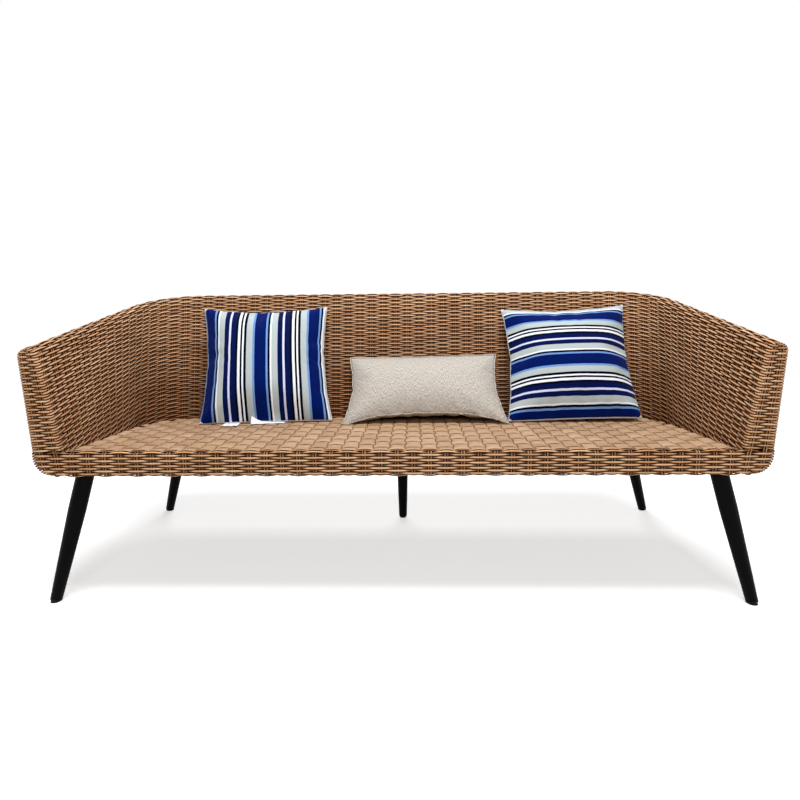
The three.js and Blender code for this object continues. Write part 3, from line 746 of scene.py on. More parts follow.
# %% [markdown]
# Rows of the walls
#
# A row of the weave is a closed loop: along the outside of the left arm, round its front edge, back
# along the inside, across the backrest, forward again and home round the outside. Rows stay at the
# same distance from the crest, so they slope down the arms with it, and the lower ones run into the
# seat. Where a row meets a leg plate it stops.

# %% Stations round the sofa
ARM_COLUMNS, CORNER_COLUMNS, BACK_COLUMNS, FACE_COLUMNS = 12, 6, 34, 2


def steps_of(columns, low, high):
    count = columns * COLUMN_STEPS
    return [low + (high - low) * k / count for k in range(count)]


stations = (
    [("arm", s, -1) for s in steps_of(ARM_COLUMNS, 0, 1)]
    + [("corner", s, -1) for s in steps_of(CORNER_COLUMNS, 0, 1)]
    + [("back", s, 1) for s in steps_of(BACK_COLUMNS, 1, 0)]
    + [("corner", s, 1) for s in steps_of(CORNER_COLUMNS, 1, 0)]
    + [("arm", s, 1) for s in steps_of(ARM_COLUMNS, 1, 0)]
    + [("arm", 0.0, 1)]
)
sections = [wall_section(station, MIDDLE_INSET) for station in stations]
# Behind the front edges the rows run on a little below the seat, so the foot of the wall is closed
FOOT_BELOW_SEAT = 0.009
for section in sections[1:-1]:
    section[0, 2] -= FOOT_BELOW_SEAT
print("stations", len(stations))


# %% Rows on both sides of the wall
def pitch_at(station):
    """Rows stand a little further apart towards the back."""
    stretch, share, _ = station
    if stretch == "arm":
        return FRONT_PITCH + ARM_PITCH_GROWTH * share
    if stretch == "corner":
        return FRONT_PITCH + ARM_PITCH_GROWTH + CORNER_PITCH_GROWTH * share
    return FRONT_PITCH + ARM_PITCH_GROWTH + CORNER_PITCH_GROWTH


def along_section(section, arcs):
    """Points at distances from the crest along a section, and which of them are on it."""
    length = lengths_along(section)
    length -= length[ARC_POINTS]
    points = np.stack([np.interp(arcs, length, section[:, k]) for k in range(3)], axis=-1)
    return points, (arcs >= length[0]) & (arcs <= length[-1])


pitches = [pitch_at(station) for station in stations]
row_count = max(
    int(lengths_along(part)[-1] / pitch)
    for section, pitch in zip(sections, pitches)
    for part in (section[:ARC_POINTS + 1], section[ARC_POINTS:]))
row_places = np.arange(row_count) + 0.5


def strip(sign):
    """Points, downward directions and validity of all rows on the inner (-1) or outer (+1) side."""
    points, down, valid = [], [], []
    for section, pitch in zip(sections, pitches):
        arcs = row_places * pitch
        on_line, flags = along_section(section, sign * arcs)
        lower = along_section(section, sign * (arcs + pitch / 2))[0]
        upper = along_section(section, sign * (arcs - pitch / 2))[0]
        points.append(on_line)
        down.append(lower - upper)
        valid.append(flags)
    return np.array(points), np.array(down), np.array(valid)


inner_points, inner_down, inner_valid = strip(-1)
outer_points, outer_down, outer_valid = strip(+1)
# The rows that end on the front face of the arm are the ones above the seat
FACE_ABOVE_SEAT = 0.004
front_row = int((outer_points[0, :, 2] > DECK_TOP - FACE_ABOVE_SEAT).sum())
print("rows", row_count, "of which on the arm fronts", front_row)

# %% Loops of rows
arm_steps = ARM_COLUMNS * COLUMN_STEPS
face_steps = FACE_COLUMNS * COLUMN_STEPS
face_shares = (np.arange(1, face_steps) / face_steps)[:, None, None]
face_valid = np.broadcast_to(np.arange(row_count) < front_row, (face_steps - 1, row_count))


def face_between(first, last):
    return first + (last - first) * face_shares


def once_round(outer, inner, left_face, right_face):
    """From the rear end of the left arm's outside round the inside, and home across the outer back."""
    return np.concatenate([
        outer[arm_steps::-1], left_face, inner, right_face, outer[:arm_steps:-1]])


loop_points = once_round(outer_points, inner_points, face_between(outer_points[0], inner_points[0]),
                         face_between(inner_points[-1], outer_points[-1]))
loop_down = once_round(outer_down, inner_down, face_between(outer_down[0], inner_down[0]),
                       face_between(inner_down[-1], outer_down[-1]))
loop_valid = once_round(outer_valid, inner_valid, face_valid, face_valid)
loop_steps = len(loop_points)
loop_columns = loop_steps // COLUMN_STEPS
print("loop steps", loop_steps, "columns", loop_columns)

# %% Room for the leg plates
PLATE_CLEAR = 0.0375
PLATE_ABOVE_BOTTOM = 0.02

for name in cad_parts:
    if name.startswith("leg_plate_"):
        low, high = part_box(name)
        centre = np.array([(low[0] + high[0]) / 2, (low[1] + high[1]) / 2])
        near = np.linalg.norm(loop_points[..., :2] - centre, axis=-1) < PLATE_CLEAR
        loop_valid &= ~(near & (loop_points[..., 2] < BOTTOM + PLATE_ABOVE_BOTTOM))
print("places on the rows:", int(loop_valid.sum()))

# %% Front edges of the arms
EDGES = [arm_steps, arm_steps + face_steps,
         arm_steps + face_steps + len(stations) - 1, arm_steps + 2 * face_steps + len(stations) - 1]
# Steps from the outer edge, and how far the weave stands proud there, bent round the front post
EDGE_PUSHES = ((-2, 0.0008), (-1, 0.0022), (0, 0.0038), (1, 0.0020))
# At an edge every strand passes outside the post, whichever way it goes next
EDGE_WRAP = (0.5, 1.0, 1.0, 1.0, 0.5)

# The weave turns each edge in a small round
softened = loop_points.copy()
for edge in EDGES:
    for k in (edge - 1, edge, edge + 1):
        mean = (loop_points[k - 1] + 2 * loop_points[k] + loop_points[k + 1]) / 4
        whole = (loop_valid[k - 1] & loop_valid[k] & loop_valid[k + 1])[:, None]
        softened[k] = np.where(whole, mean, loop_points[k])
loop_points = softened

for edge, side in ((EDGES[0], -1), (EDGES[3], 1)):
    for step, push in EDGE_PUSHES:
        loop_points[edge + step, :, 0] += side * push

loop_wrap = np.zeros(loop_steps)
for edge in EDGES:
    loop_wrap[edge - 2: edge + 3] = EDGE_WRAP

# %% Directions and painted shade in the corner
# Share of the painted corner shade that the arms keep at their front
CORNER_SHADE_AT_FRONT = 0.60

loop_along = np.roll(loop_points, -1, axis=0) - np.roll(loop_points, 1, axis=0)
loop_out = unit(-np.cross(loop_along, loop_down))
loop_across = -loop_down / ROW_PITCH

# Painted shade in the corner over the seat: how deep each crossing of the inner side sits there, 0 at
# the crest
along_arm = np.array([share if stretch == "arm" else 1.0 for stretch, share, _ in stations])
inner_height = inner_points[..., 2] - DECK_TOP
inner_height = np.clip(inner_height / inner_height[:, :1], 0, 1)
corner_shade_share = CORNER_SHADE_AT_FRONT + (1 - CORNER_SHADE_AT_FRONT) * along_arm ** 2
loop_corner_shade = np.zeros((loop_steps, row_count))
loop_corner_shade[EDGES[1]: EDGES[2] + 1] = (1 - inner_height) * corner_shade_share[:, None]
print("deepest in the corner:", round(float(loop_corner_shade.max()), 2))

# %% [markdown]
# Woven wall pieces
#
# The loops are split into pieces at the arms, corners and back. Each cut is made where the strand
# is hidden behind a stake pair, one column earlier or later on alternate rows, so no cut shows. The
# outside of the back is two pieces, because one would hold too many triangles.

# %% Lay the rows
# Shorter bits, counted in places, are left out
SHORTEST_STRAND, SHORTEST_STAKE = 3, 2


def runs_of(flags):
    """First and last place of each unbroken run of true flags."""
    edges = np.flatnonzero(np.diff(np.concatenate([[0], flags.astype(np.int8), [0]])))
    return [(a, b - 1) for a, b in zip(edges[::2], edges[1::2])]


def cut_place(column, row):
    """The stake near a column where this row passes behind, counted in steps."""
    behind = column - 0.5 if (column - 1 + row) % 2 else column + 0.5
    return int(behind * COLUMN_STEPS)


def weave_loops(strands, low, high):
    """All rows between two columns of the loop."""
    for row in range(row_count):
        start, end = cut_place(low, row), cut_place(high, row)
        index = np.arange(start, end + 1) % loop_steps
        for first, last in runs_of(loop_valid[index, row]):
            if last - first < SHORTEST_STRAND:
                continue
            part = index[first: last + 1]
            phase = (start + first - COLUMN_STEPS // 2 + (row + 1) * COLUMN_STEPS) % WAVE_STEPS
            lay_strand(strands, loop_points[part, row], loop_out[part, row], loop_across[part, row],
                       phase + WAVE_STEPS, loop_wrap[part], loop_corner_shade[part, row])


def other_side(step):
    """The loop step across the wall from a step on its inner side."""
    return (2 * arm_steps + face_steps - step) % loop_steps


def weave_stakes(strands, low, high):
    """Stakes on both sides of the wall, between two columns of its inner side."""
    for column in range(low, high):
        inner_step = int((column + 0.5) * COLUMN_STEPS)
        for step in (inner_step, other_side(inner_step)):
            for first, last in runs_of(loop_valid[step]):
                if last - first < SHORTEST_STAKE:
                    continue
                part = slice(first, last + 1)
                out = loop_out[step, part]
                beside = unit(np.cross(out, loop_down[step, part]))
                lay_stake(strands, loop_points[step, part], out, beside, loop_corner_shade[step, part])


# %% Pieces of the walls
# Columns where the arm, corner and back begin, once round the loop
LEFT_INNER = ARM_COLUMNS + FACE_COLUMNS
LEFT_CORNER = LEFT_INNER + ARM_COLUMNS
BACK_START = LEFT_CORNER + CORNER_COLUMNS
BACK_END = BACK_START + BACK_COLUMNS
RIGHT_CORNER_END = BACK_END + CORNER_COLUMNS
RIGHT_FACE = RIGHT_CORNER_END + ARM_COLUMNS
RIGHT_OUTER_END = RIGHT_FACE + FACE_COLUMNS + ARM_COLUMNS
OUTSIDE_START = RIGHT_OUTER_END + CORNER_COLUMNS
OUTSIDE_MIDDLE = OUTSIDE_START + BACK_COLUMNS // 2
OUTSIDE_END = OUTSIDE_START + BACK_COLUMNS
# Each woven piece, the columns that it spans, and the node that it stands for
WALL_PIECES = [
    ("weave_arm_left", [(0, LEFT_CORNER)], "wicker_arm_left"),
    ("weave_corner_left", [(LEFT_CORNER, BACK_START), (OUTSIDE_END, loop_columns)],
     "wicker_corner_left"),
    ("weave_back_inside", [(BACK_START, BACK_END)], "wicker_back"),
    ("weave_corner_right", [(BACK_END, RIGHT_CORNER_END), (RIGHT_OUTER_END, OUTSIDE_START)],
     "wicker_corner_right"),
    ("weave_arm_right", [(RIGHT_CORNER_END, RIGHT_OUTER_END)], "wicker_arm_right"),
    ("weave_back_outside_right", [(OUTSIDE_START, OUTSIDE_MIDDLE)], "wicker_back"),
    ("weave_back_outside_left", [(OUTSIDE_MIDDLE, OUTSIDE_END)], "wicker_back"),
]
STAKE_PIECES = [
    ("stakes_arm_left", LEFT_INNER, LEFT_CORNER),
    ("stakes_corner_left", LEFT_CORNER, BACK_START),
    ("stakes_back_inside", BACK_START, BACK_END),
    ("stakes_corner_right", BACK_END, RIGHT_CORNER_END),
    ("stakes_arm_right", RIGHT_CORNER_END, RIGHT_FACE),
]


def finish_piece(piece, body, slot, *nodes):
    """What the piece moves with, and the nodes that it stands for, which are hidden; the slot is not
    used.
    """
    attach(piece, body)
    if nodes:
        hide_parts(*nodes)


for name, spans, node in WALL_PIECES:
    strands = Strands()
    for low, high in spans:
        weave_loops(strands, low, high)
    finish_piece(strands.build(name, cane), "sofa", "cane", node)

for name, low, high in STAKE_PIECES:
    strands = Strands()
    weave_stakes(strands, low, high)
    finish_piece(strands.build(name, stake_cane), "sofa", "cane")

# %% [markdown]
# Dark behind the weave
#
# Between the strands one looks into a hollow wall where little light comes. A thin dark brown
# sheet of painted shade a few millimetres behind the strands stands in for the shade in that hollow,
# so no daylight shows through gaps that line up on both sides of a wall.

# %% Finish of the painted shade sheets
SHADE_SHEET_PATCHES = 60.0
SHADE_SHEET_ROUGHNESS = 0.9
SHADE_SHEET_GLOSS = 0.02


def shade_sheet_material(name, low, high):
    material = new_material(name)
    tree = material.node_tree
    patches = noise(tree, object_place(tree), SHADE_SHEET_PATCHES, 3.0)
    surface(tree, Base_Color=ramp(tree, patches, [(0.35, low), (0.7, high)]),
            Roughness=SHADE_SHEET_ROUGHNESS, Specular_IOR_Level=SHADE_SHEET_GLOSS)
    return material


hollow_shade = shade_sheet_material("hollow_shade", colour(24, 10, 4), colour(40, 19, 9))
# Under the deck the painted shade is a lighter brown
under_deck_shade = shade_sheet_material("under_deck_shade", colour(92, 62, 38), colour(116, 80, 52))
print("lining finishes:", hollow_shade.name, under_deck_shade.name)


# %% Sheets from grids
def apply_modifier(piece, modifier):
    bpy.context.view_layer.objects.active = piece
    bpy.ops.object.modifier_apply(modifier=modifier.name)


def thicken(piece, thickness):
    solid = piece.modifiers.new("thickness", "SOLIDIFY")
    solid.thickness = thickness
    solid.offset = -1
    apply_modifier(piece, solid)


def grid_piece(name, grids, material, thickness):
    """A sheet from grids of points, each with flags for the points that exist, given a thickness."""
    points, faces, count = [], [], 0
    for grid, flags in grids:
        number = count + np.arange(flags.size).reshape(flags.shape)
        whole = flags[:-1, :-1] & flags[1:, :-1] & flags[1:, 1:] & flags[:-1, 1:]
        quads = np.stack([number[:-1, :-1], number[:-1, 1:], number[1:, 1:], number[1:, :-1]], axis=-1)
        faces += quads[whole].tolist()
        points += grid.reshape(-1, 3).tolist()
        count += flags.size
    mesh = bpy.data.meshes.new(name)
    mesh.from_pydata(points, [], faces)
    mesh.materials.append(material)
    piece = add_object(name, mesh)
    deselect_all()
    bpy.context.view_layer.objects.active = piece
    piece.select_set(True)
    bpy.ops.object.mode_set(mode="EDIT")
    bpy.ops.mesh.select_all(action="SELECT")
    bpy.ops.mesh.delete_loose()
    bpy.ops.object.mode_set(mode="OBJECT")
    thicken(piece, thickness)
    print(name, "faces:", len(piece.data.polygons))
    return piece


# %% Painted shade sheets behind the walls
SHADE_SHEET_DEPTH = 0.0048
SHADE_SHEET_THICKNESS = 0.0006
SHADE_SHEET_STRIDE = 3

loop_depth = loop_points - loop_out * SHADE_SHEET_DEPTH
on_face = np.zeros((loop_steps, 1), dtype=bool)
on_face[EDGES[0] + 1: EDGES[1]] = True
on_face[EDGES[2] + 1: EDGES[3]] = True
shade_sheet_valid = loop_valid & ~(on_face & (np.arange(row_count) >= front_row))
for name, spans, _ in WALL_PIECES:
    grids = []
    for low, high in spans:
        index = np.arange(low * COLUMN_STEPS, high * COLUMN_STEPS + 1, SHADE_SHEET_STRIDE) % loop_steps
        crest = (loop_depth[index, :1] + loop_depth[other_side(index), :1]) / 2
        on_crest = np.ones((len(index), 1), dtype=bool)
        grids.append((np.concatenate([crest, loop_depth[index]], axis=1),
                      np.concatenate([on_crest, shade_sheet_valid[index]], axis=1)))
    piece = grid_piece(name.replace("weave", "lining"), grids, hollow_shade, SHADE_SHEET_THICKNESS)
    finish_piece(piece, "sofa", "frame")

# %% [markdown]
# Apron
#
# Below the seat the front of the sofa is one level-woven apron from one outer edge to the other. Its
# rows carry on from the rows of the arm fronts, roll over the front rail at the top and tuck under
# it at the bottom.

# %% Apron profile
APRON_COLUMNS = 41
APRON_PITCH = 0.00715
APRON_ROUND = 0.009
APRON_DROP = 0.0030
TOP_LAP = 0.030
BOTTOM_LAP = 0.062
BEND_POINTS = 5


def apron_profile():
    """Depth and height of the middle of the weave, from under the deck round to under the rail."""
    bend = APRON_ROUND - MIDDLE_INSET
    face = FRONT_Y + MIDDLE_INSET
    top = DECK_TOP - MIDDLE_INSET
    bottom = BOTTOM - APRON_DROP + MIDDLE_INSET
    points = [(FRONT_Y + TOP_LAP, top)]
    for angle in np.linspace(0, math.pi / 2, BEND_POINTS):
        points.append((face + bend - bend * math.sin(angle), top - bend + bend * math.cos(angle)))
    for angle in np.linspace(0, math.pi / 2, BEND_POINTS):
        points.append((face + bend - bend * math.cos(angle), bottom + bend - bend * math.sin(angle)))
    points.append((FRONT_Y + BOTTOM_LAP, BOTTOM - APRON_DROP / 2 + MIDDLE_INSET))
    return np.array(points)


profile = apron_profile()
profile_length = lengths_along(profile)


def profile_at(arc):
    y = np.interp(arc, profile_length, profile[:, 0])
    z = np.interp(arc, profile_length, profile[:, 1])
    return y, z


# The rows carry on from the first row below those of the arm fronts
front_part = slice(1, 2 + BEND_POINTS)
first_level = outer_points[0, front_row, 2]
first_arc = np.interp(-first_level, -profile[front_part, 1], profile_length[front_part])
first_number = -int(first_arc / APRON_PITCH)
last_number = int((profile_length[-1] - first_arc) / APRON_PITCH)
print("first apron row at", round(float(first_level), 4), "rows", last_number - first_number + 1)

# %% Apron width
INNER_EDGE = INNER_FOOT[0]
ROUND_ABOVE_SEAT = 0.02
apron_total = APRON_COLUMNS + 2 * FACE_COLUMNS
outline = sections[0][ARC_POINTS:]
round_part = outline[outline[:, 2] < DECK_TOP + ROUND_ABOVE_SEAT][:-1]
round_part = round_part[np.argsort(round_part[:, 2])]


def outer_half(z):
    """Half width of the front face at a height, to the middle of the weave."""
    return np.interp(z, round_part[:, 2], np.abs(round_part[:, 0]))


def apron_x(column, half):
    """Place of a column: evenly between the arms' inner edges, then out to the outer edges."""
    edges = [0, FACE_COLUMNS, apron_total - FACE_COLUMNS, apron_total]
    return np.interp(column, edges, [-half, -INNER_EDGE, INNER_EDGE, half])


# %% Apron rows
# Rows this close behind the front face run over its whole width, the others between the arms
FACE_DEPTH = 0.012
SLOPE_STEP = 0.002
# Whole rows end some steps beyond the edge, and turn back and in there
END_STEPS, END_BACK, END_IN = 2, 0.006, 0.0015

apron = Strands()
for number in range(first_number, last_number + 1):
    arc = first_arc + number * APRON_PITCH
    y, z = profile_at(arc)
    ahead, behind = profile_at(arc + SLOPE_STEP), profile_at(arc - SLOPE_STEP)
    down = unit(np.array([0, ahead[0] - behind[0], ahead[1] - behind[1]]))
    first, last = FACE_COLUMNS * COLUMN_STEPS, (apron_total - FACE_COLUMNS) * COLUMN_STEPS
    if number >= 0 and y < FRONT_Y + FACE_DEPTH:
        first, last = -END_STEPS, apron_total * COLUMN_STEPS + END_STEPS
    column = np.arange(first, last + 1) / COLUMN_STEPS
    x = apron_x(column, outer_half(z))
    points = np.stack([x, np.full_like(x, y), np.full_like(x, z)], axis=-1)
    beyond = np.maximum(np.maximum(-column, column - apron_total), 0) * COLUMN_STEPS
    points[:, 1] += END_BACK * beyond
    points[:, 0] -= np.sign(x) * END_IN * beyond ** 2
    along = np.gradient(points, axis=0)
    out = unit(-np.cross(along, np.broadcast_to(down, along.shape)))
    across = np.broadcast_to(-down * APRON_PITCH / ROW_PITCH, along.shape)
    phase = (first - COLUMN_STEPS // 2 + (front_row + number + 1) * COLUMN_STEPS) % WAVE_STEPS
    lay_strand(apron, points, out, across, phase + WAVE_STEPS)

finish_piece(apron.build("weave_apron", cane), "sofa", "cane", "wicker_front_apron")

# %% Apron stakes
STAKE_POINTS = 18
STAKE_TOP_ARC = 0.001
# The stakes of the middle stop before the bottom bend, those of the arm fronts at the bottom
STAKE_FOOT = BOTTOM + 0.001
FACE_STAKE_FOOT = BOTTOM + 0.003
ALONG_X = np.array([1.0, 0, 0])
FORWARD = np.array([0, -1.0, 0])

apron_stakes = Strands()
foot_arc = np.interp(-STAKE_FOOT, -profile[:, 1], profile_length)
y, z = profile_at(np.linspace(STAKE_TOP_ARC, foot_arc, STAKE_POINTS))
for column in np.arange(FACE_COLUMNS + 0.5, apron_total - FACE_COLUMNS):
    points = np.stack([np.full_like(y, apron_x(column, INNER_EDGE)), y, z], axis=-1)
    down = unit(np.gradient(points, axis=0))
    beside = np.broadcast_to(ALONG_X, points.shape)
    lay_stake(apron_stakes, points, unit(np.cross(down, beside)), beside)

levels = np.arange(first_level - APRON_PITCH, FACE_STAKE_FOOT, -APRON_PITCH)
for column in (0.5, 1.5, apron_total - 1.5, apron_total - 0.5):
    on_left = column < FACE_COLUMNS
    loop_column = ARM_COLUMNS + column if on_left else RIGHT_FACE + FACE_COLUMNS + column - apron_total
    upper = loop_points[int(loop_column * COLUMN_STEPS), :front_row]
    x = [apron_x(column, half) for half in outer_half(levels)]
    lower = np.stack([x, np.full_like(levels, FRONT_Y + MIDDLE_INSET), levels], axis=-1)
    points = np.concatenate([upper, lower])
    beside = np.broadcast_to(ALONG_X, points.shape)
    lay_stake(apron_stakes, points, np.broadcast_to(FORWARD, points.shape), beside)

finish_piece(apron_stakes.build("stakes_apron", stake_cane), "sofa", "cane")

# %% [markdown]
# Seat deck
#
# The seat is woven flat from broad smooth strips, so it is kind to sit on. Strips from front to rear
# and strips from arm to arm pass over and under each other, and each crossing shows as a low crown.

# %% Deck outline
DECK_ROW_PITCH = 0.0360
DECK_MIDDLE = DECK_TOP - 0.0041
deck_front = FRONT_Y + TOP_LAP - 0.008
deck_rear = INNER_FOOT[2] - 0.001
weft_rows = int((deck_rear - deck_front) / DECK_ROW_PITCH)
column_pitch = 2 * INNER_EDGE / APRON_COLUMNS


def deck_half(y):
    """Half width of the seat at a depth, along the inner foot of the walls."""
    start, centre = corner_of(INNER_FOOT)[2:]
    x_arm = np.interp(y, [FRONT_Y, start[1]], [INNER_FOOT[0], start[0]])
    rise = np.clip((y - centre[1]) / INNER_FOOT[3], 0, 1)
    x_corner = centre[0] + INNER_FOOT[3] * np.sqrt(1 - rise ** 2)
    return np.where(y < start[1], x_arm, x_corner)


print("deck rows", weft_rows, "column pitch", round(column_pitch, 4))

# %% Flat strips
STRIP_THICKNESS = 0.0018
# Across a strip its edges droop, and its flanks are near the edges
EDGE_DROOP, FLANK_PLACE = 0.2, 0.72
GRAIN_RANGE = 9
ALONG_Y = np.array([0, 1.0, 0])


def lay_strip(strands, points, to_rear, width, crown, start, tone):
    """A flat strip with a crown along a line of points, from arm to arm or from front to rear."""
    half = width / 2
    outline = np.array([
        [-half, -EDGE_DROOP], [-half * FLANK_PLACE, 1.0], [0, 1.0 + crown],
        [half * FLANK_PLACE, 1.0], [half, -EDGE_DROOP], [0, -1.0]])
    outline[:, 1] *= STRIP_THICKNESS / 2
    if not to_rear:
        outline = outline[::-1]
    beside = ALONG_X if to_rear else ALONG_Y
    along = unit(np.gradient(points, axis=0))
    up = unit(np.cross(beside, along) if to_rear else np.cross(along, beside))
    rings = points[:, None] + outline[None, :, :1] * beside + outline[None, :, 1:] * up[:, None]
    distance = points[:, 1 if to_rear else 0] + start
    depth = points[:, 2] - DECK_MIDDLE
    place = np.stack(np.broadcast_arrays(
        distance[:, None], outline[None, :, 0], depth[:, None] + outline[None, :, 1]), axis=-1)
    strands.tube(rings, place, tone)


# %% Strips from arm to arm
WEFT_WIDTH, WEFT_LIFT, WEFT_CROWN = 0.0360, 0.0026, 0.5
WEFT_REAR_GAP, WEFT_END_GAP = 0.004, 0.002
STEPS_PER_CROSSING = 6
# A store of tones, one for each crown of a strip, and where the middle ones start
TONE_STORE, TONE_START = 200, 90

deck = Strands()
for row in range(weft_rows + 1):
    y = deck_front + (row + 0.5) * DECK_ROW_PITCH
    if y > deck_rear - WEFT_REAR_GAP:
        continue
    half = float(deck_half(np.array(y))) - WEFT_END_GAP
    x = np.linspace(-half, half, int(2 * half / (column_pitch / STEPS_PER_CROSSING)))
    column_place = x / column_pitch + (APRON_COLUMNS - 1) / 2
    z = DECK_MIDDLE + WEFT_LIFT * np.cos(np.pi * (column_place + row))
    points = np.stack([x, np.full_like(x, y), z], axis=-1)
    start = rng.random() * GRAIN_RANGE
    crowns = np.floor((column_place + row + 1) / 2).astype(int)
    tones = rng.random(TONE_STORE)[crowns + TONE_START]
    lay_strip(deck, points, False, WEFT_WIDTH, WEFT_CROWN, start, tones)

# %% Strips from front to rear
WARP_WIDTH, WARP_LIFT, WARP_CROWN = 0.0440, 0.0022, 0.4
WARP_SIDE_GAP = 0.004
LOWEST_WARP_TONE, WARP_TONE_RANGE = 0.2, 0.6

for column in range(APRON_COLUMNS):
    x = (column + 0.5 - APRON_COLUMNS / 2) * column_pitch
    y = np.linspace(deck_front, deck_rear, weft_rows * STEPS_PER_CROSSING)
    y = y[deck_half(y) > abs(x) + WARP_SIDE_GAP]
    if len(y) < STEPS_PER_CROSSING:
        continue
    row_place = (y - deck_front) / DECK_ROW_PITCH - 0.5
    z = DECK_MIDDLE - WARP_LIFT * np.cos(np.pi * (column + row_place))
    points = np.stack([np.full_like(y, x), y, z], axis=-1)
    start = rng.random() * GRAIN_RANGE
    tones = np.full(len(y), rng.random() * WARP_TONE_RANGE + LOWEST_WARP_TONE)
    lay_strip(deck, points, True, WARP_WIDTH, WARP_CROWN, start, tones)

finish_piece(deck.build("weave_deck", deck_cane), "sofa", "deck", "wicker_seat_deck")

# %% Painted shade sheets behind the apron and under the deck
ACROSS_POINTS, APRON_SHADE_SHEET_POINTS, DECK_SHADE_SHEET_POINTS = 41, 15, 25
APRON_SIDE_GAP, APRON_PAST_EDGE = 0.004, 0.05
DECK_FRONT_GAP, DECK_SIDE_GAP, DECK_SHADE_SHEET_DROP = 0.008, 0.001, 0.0045
# The shade sheet hugs the bottom bend, where one looks under the rows
BEND_HEIGHT, NEAREST_SHARE = 0.010, 0.55
across_share = np.linspace(-1, 1, ACROSS_POINTS)[:, None]


def flat_shade_sheet(name, halves, y, z, material, turned=False):
    """A sheet of painted shade from side to side, with a half width for each place from front to rear.
    """
    grid = np.stack(np.broadcast_arrays(halves * across_share, y, z), axis=-1)
    if turned:
        grid = grid[::-1]
    flags = np.ones(grid.shape[:2], dtype=bool)
    piece = grid_piece(name, [(grid, flags)], material, SHADE_SHEET_THICKNESS)
    finish_piece(piece, "sofa", "frame")


y, z = profile_at(np.linspace(0, profile_length[-1], APRON_SHADE_SHEET_POINTS))
inward = unit(np.stack([np.gradient(z), -np.gradient(y)], axis=1)) * SHADE_SHEET_DEPTH
inward *= np.clip((z - BOTTOM) / BEND_HEIGHT, NEAREST_SHARE, 1)[:, None]
y, z = y - inward[:, 0], z - inward[:, 1]
halves = np.minimum(outer_half(z) - APRON_SIDE_GAP, INNER_EDGE + APRON_PAST_EDGE)
flat_shade_sheet("lining_apron", halves, y, z, hollow_shade)

y = np.linspace(FRONT_Y + DECK_FRONT_GAP, deck_rear, DECK_SHADE_SHEET_POINTS)
flat_shade_sheet("lining_deck", deck_half(y) - DECK_SIDE_GAP, y, DECK_MIDDLE - DECK_SHADE_SHEET_DROP, under_deck_shade,
            turned=True)

# %% [markdown]
# Frame, legs and fittings
#
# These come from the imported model. The tubes are brown powder coat, the legs satin black paint, the
# studs zinc plate and the glides moulded black plastic.

# %% Hard finishes
HARD_DUST_COLOUR = colour(150, 140, 128)
WORN_PATCHES = 11.0
HARD_GLOSS = 0.04
HARD_ROUGH_SPREAD = 0.16
HARD_BUMP = 0.3


def hard_material(name, base, patch, rough, metal, grain, grain_depth, dusty):
    """A coat or metal in two near colours, with a fine grain and some dust on what faces up."""
    material = new_material(name)
    tree = material.node_tree
    place = object_place(tree)
    fine = noise(tree, place, grain, 4.0)
    both = ramp(tree, noise(tree, place, WORN_PATCHES, 3.0), [(0.35, base), (0.7, patch)])
    dust = use_group(tree, dust_group, Place=place, Amount=dusty)
    both = mixed(tree, dust.outputs["Mask"], both, HARD_DUST_COLOUR)
    surface(tree, Base_Color=both, Metallic=metal, Specular_IOR_Level=HARD_GLOSS,
            Roughness=maths(tree, "MULTIPLY_ADD", fine, HARD_ROUGH_SPREAD,
                            rough - HARD_ROUGH_SPREAD / 2),
            Normal=bumped(tree, fine, HARD_BUMP, grain_depth))
    return material


powder_brown = hard_material("powder_brown", colour(70, 50, 34), colour(84, 60, 42), rough=0.55,
                             metal=0.0, grain=900, grain_depth=0.0002, dusty=0.3)
satin_black = hard_material("satin_black", colour(3, 3, 4), colour(5, 5, 6), rough=0.42,
                            metal=0.0, grain=1200, grain_depth=0.0001, dusty=0.02)
zinc_plate = hard_material("zinc_plate", colour(150, 152, 156), colour(172, 172, 170), rough=0.34,
                           metal=1.0, grain=500, grain_depth=0.0001, dusty=0.1)
moulded_black = hard_material("moulded_black", colour(20, 20, 21), colour(30, 30, 31), rough=0.6,
                              metal=0.0, grain=700, grain_depth=0.0002, dusty=0.2)

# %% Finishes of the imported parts
# The first start of a name that fits gives the finish
FINISHES = [("leg_stud", zinc_plate), ("leg_glide", moulded_black), ("leg_plate", powder_brown),
            ("leg_", satin_black), ("", powder_brown)]

for name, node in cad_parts.items():
    if name.startswith(("wicker_", "cushion_")):
        continue
    finish = next(material for start, material in FINISHES if name.startswith(start))
    if not node.material_slots:
        node.data.materials.append(finish)
    for slot in node.material_slots:
        slot.material = finish
print("finishes given to the frame, legs and fittings")

# %% [markdown]
# Cushions
#
# Three scatter cushions lean on the backrest: two striped squares and a plain lumbar cushion. Each
# is two flat cloth panels sewn edge to edge and blown up from inside in a short cloth simulation, so
# the sides draw in, the seams pucker and the corners stay behind as pointed ears. The result is
# fitted to the size of the cushion, then leant on the backrest and pressed flat where it touches.

# %% Sew
CELL = 0.0100
FIRST_CROWN = 0.030
SEAM_REACH = 0.0001


def read_points(mesh):
    points = np.empty(3 * len(mesh.vertices), dtype=np.float32)
    mesh.vertices.foreach_get("co", points)
    return points.reshape(-1, 3).astype(float)


def write_points(mesh, points):
    mesh.vertices.foreach_set("co", points.astype(np.float32).ravel())
    mesh.update()


def pillow(u, v):
    """Height of a plain pillow, 1 in the middle and 0 at the seam, where u or v is 1."""
    return np.sqrt(np.maximum(0, (1 - u ** 4) * (1 - v ** 4)))


